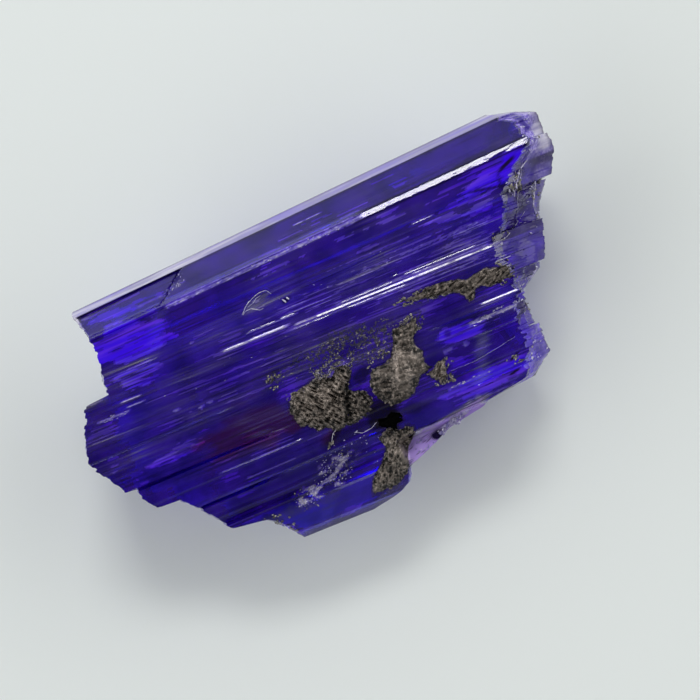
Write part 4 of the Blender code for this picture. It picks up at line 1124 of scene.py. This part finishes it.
def makeKey():  # turned to the stone, so high that the facets' tilt sends it straight up
    turn, distance = math.radians(studio["keyAngle"]), studio["keyDistance"]
    data = bpy.data.lights.new("key", "AREA")
    data.shape = "RECTANGLE"
    data.size, data.size_y = studio["keySize"]
    data.energy = studio["keyPower"]
    data.color = studio["keyColor"]
    light = newObject("key", data)
    light.location = (studio["keyShift"], distance * math.sin(turn), distance * math.cos(turn))
    light.rotation_euler = (Vector(studio["keyTarget"]) - light.location).to_track_quat("-Z", "Y").to_euler()


def makeRoom():
    # a pale room, brighter to the left and right, darker in front and overhead where the camera stands
    world = bpy.data.worlds.new("paleRoom")
    bpy.context.scene.world = world
    world.use_nodes = True
    tree = world.node_tree
    place = addNode(tree, "ShaderNodeTexCoord").outputs["Generated"]
    height = addNode(tree, "ShaderNodeSeparateXYZ", {0: place}).outputs[2]
    ramp = addNode(tree, "ShaderNodeValToRGB", {"Fac": mathNode(tree, "MULTIPLY_ADD", height, 0.5, 0.5)})
    stops = studio["roomStops"]
    elements = ramp.color_ramp.elements
    while len(elements) < len(stops):
        elements.new(0.5)
    for element, (at, level) in zip(elements, stops):
        element.position = at
        element.color = (*(level * part for part in studio["roomColor"]), 1.0)
    color = ramp.outputs["Color"]
    for way, start, full, level in studio["roomParts"]:
        inputs = {0: place, 1: Vector(way).normalized()}
        toward = addNode(tree, "ShaderNodeVectorMath", inputs, operation="DOT_PRODUCT").outputs["Value"]
        color = mixColor(tree, rescale(tree, toward, start, full), color, (level,) * 3)
    setSockets(tree, tree.nodes["Background"], {"Color": color, "Strength": studio["roomStrength"]})


def makeFloor():
    half, level = studio["floorHalf"], studio["floorLevel"]
    points = [(x * half, y * half, level) for x, y in ((-1, -1), (1, -1), (1, 1), (-1, 1))]
    material, _, _ = newMaterial("paleTable", {
        "Roughness": studio["floorRoughness"], "Base Color": studio["floorColor"]})
    newPiece("paleFloor", points, [(0, 1, 2, 3)], (material,))


def makeCamera():  # straight above the stone, turned so that it lies across the picture as photographed
    data = bpy.data.cameras.new("camera")
    data.lens, data.sensor_width, data.clip_start = studio["lens"], studio["sensor"], mm
    camera = newObject("camera", data)
    distance = studio["viewWidth"] * studio["lens"] / studio["sensor"]
    camera.location = (studio["viewX"] * mm, studio["viewY"] * mm, (studio["viewLevel"] + distance) * mm)
    camera.rotation_euler = (0.0, 0.0, math.radians(studio["roll"]))
    bpy.context.scene.camera = camera


print("room, floor, lights and camera")
scene = bpy.context.scene
scene.view_settings.view_transform = "Standard"
scene.cycles.max_bounces = 24
scene.cycles.transmission_bounces = 20
makeRoom()
makeFloor()
makeCamera()
makeKey()

print("materials")
growthLines = grainGroup()
crystalColor = crystalColorGroup()
tanzaniteMaterials = [crystalMaterial(name, look) for name, look in tanzaniteLooks.items()]
grainMaterials = {name: grainMaterial(name, look) for name, look in grainLooks.items()}

print("crystal")
body, bodyPoints = makeCrystal(tanzaniteMaterials)
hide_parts("tanzanite_crystal")
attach(body, "root")
heightAt, isOnStone = surfaceMap(bodyPoints)

print("graphite")
for name, patch in graphite.items():
    kind = "graphiteCrystals" if patch["node"] else "blackGraphiteShade"
    piece = makeCrust(name, patch, heightAt, grainMaterials[kind])
    if patch["node"]:
        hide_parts(patch["node"])
    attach(piece, "root")

print("grains, scales and rims")
grains = makeScales("graphiteGrains", graphiteGrains, heightAt, isOnStone, grainMaterials["graphiteGrain"])
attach(grains, "root")
for piece in (makeScales("paleScales", paleScales, heightAt, isOnStone, grainMaterials["brokenTanzanite"]),
              makeRims("chipRims", heightAt, grainMaterials["brokenTanzanite"])):
    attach(piece, "root")
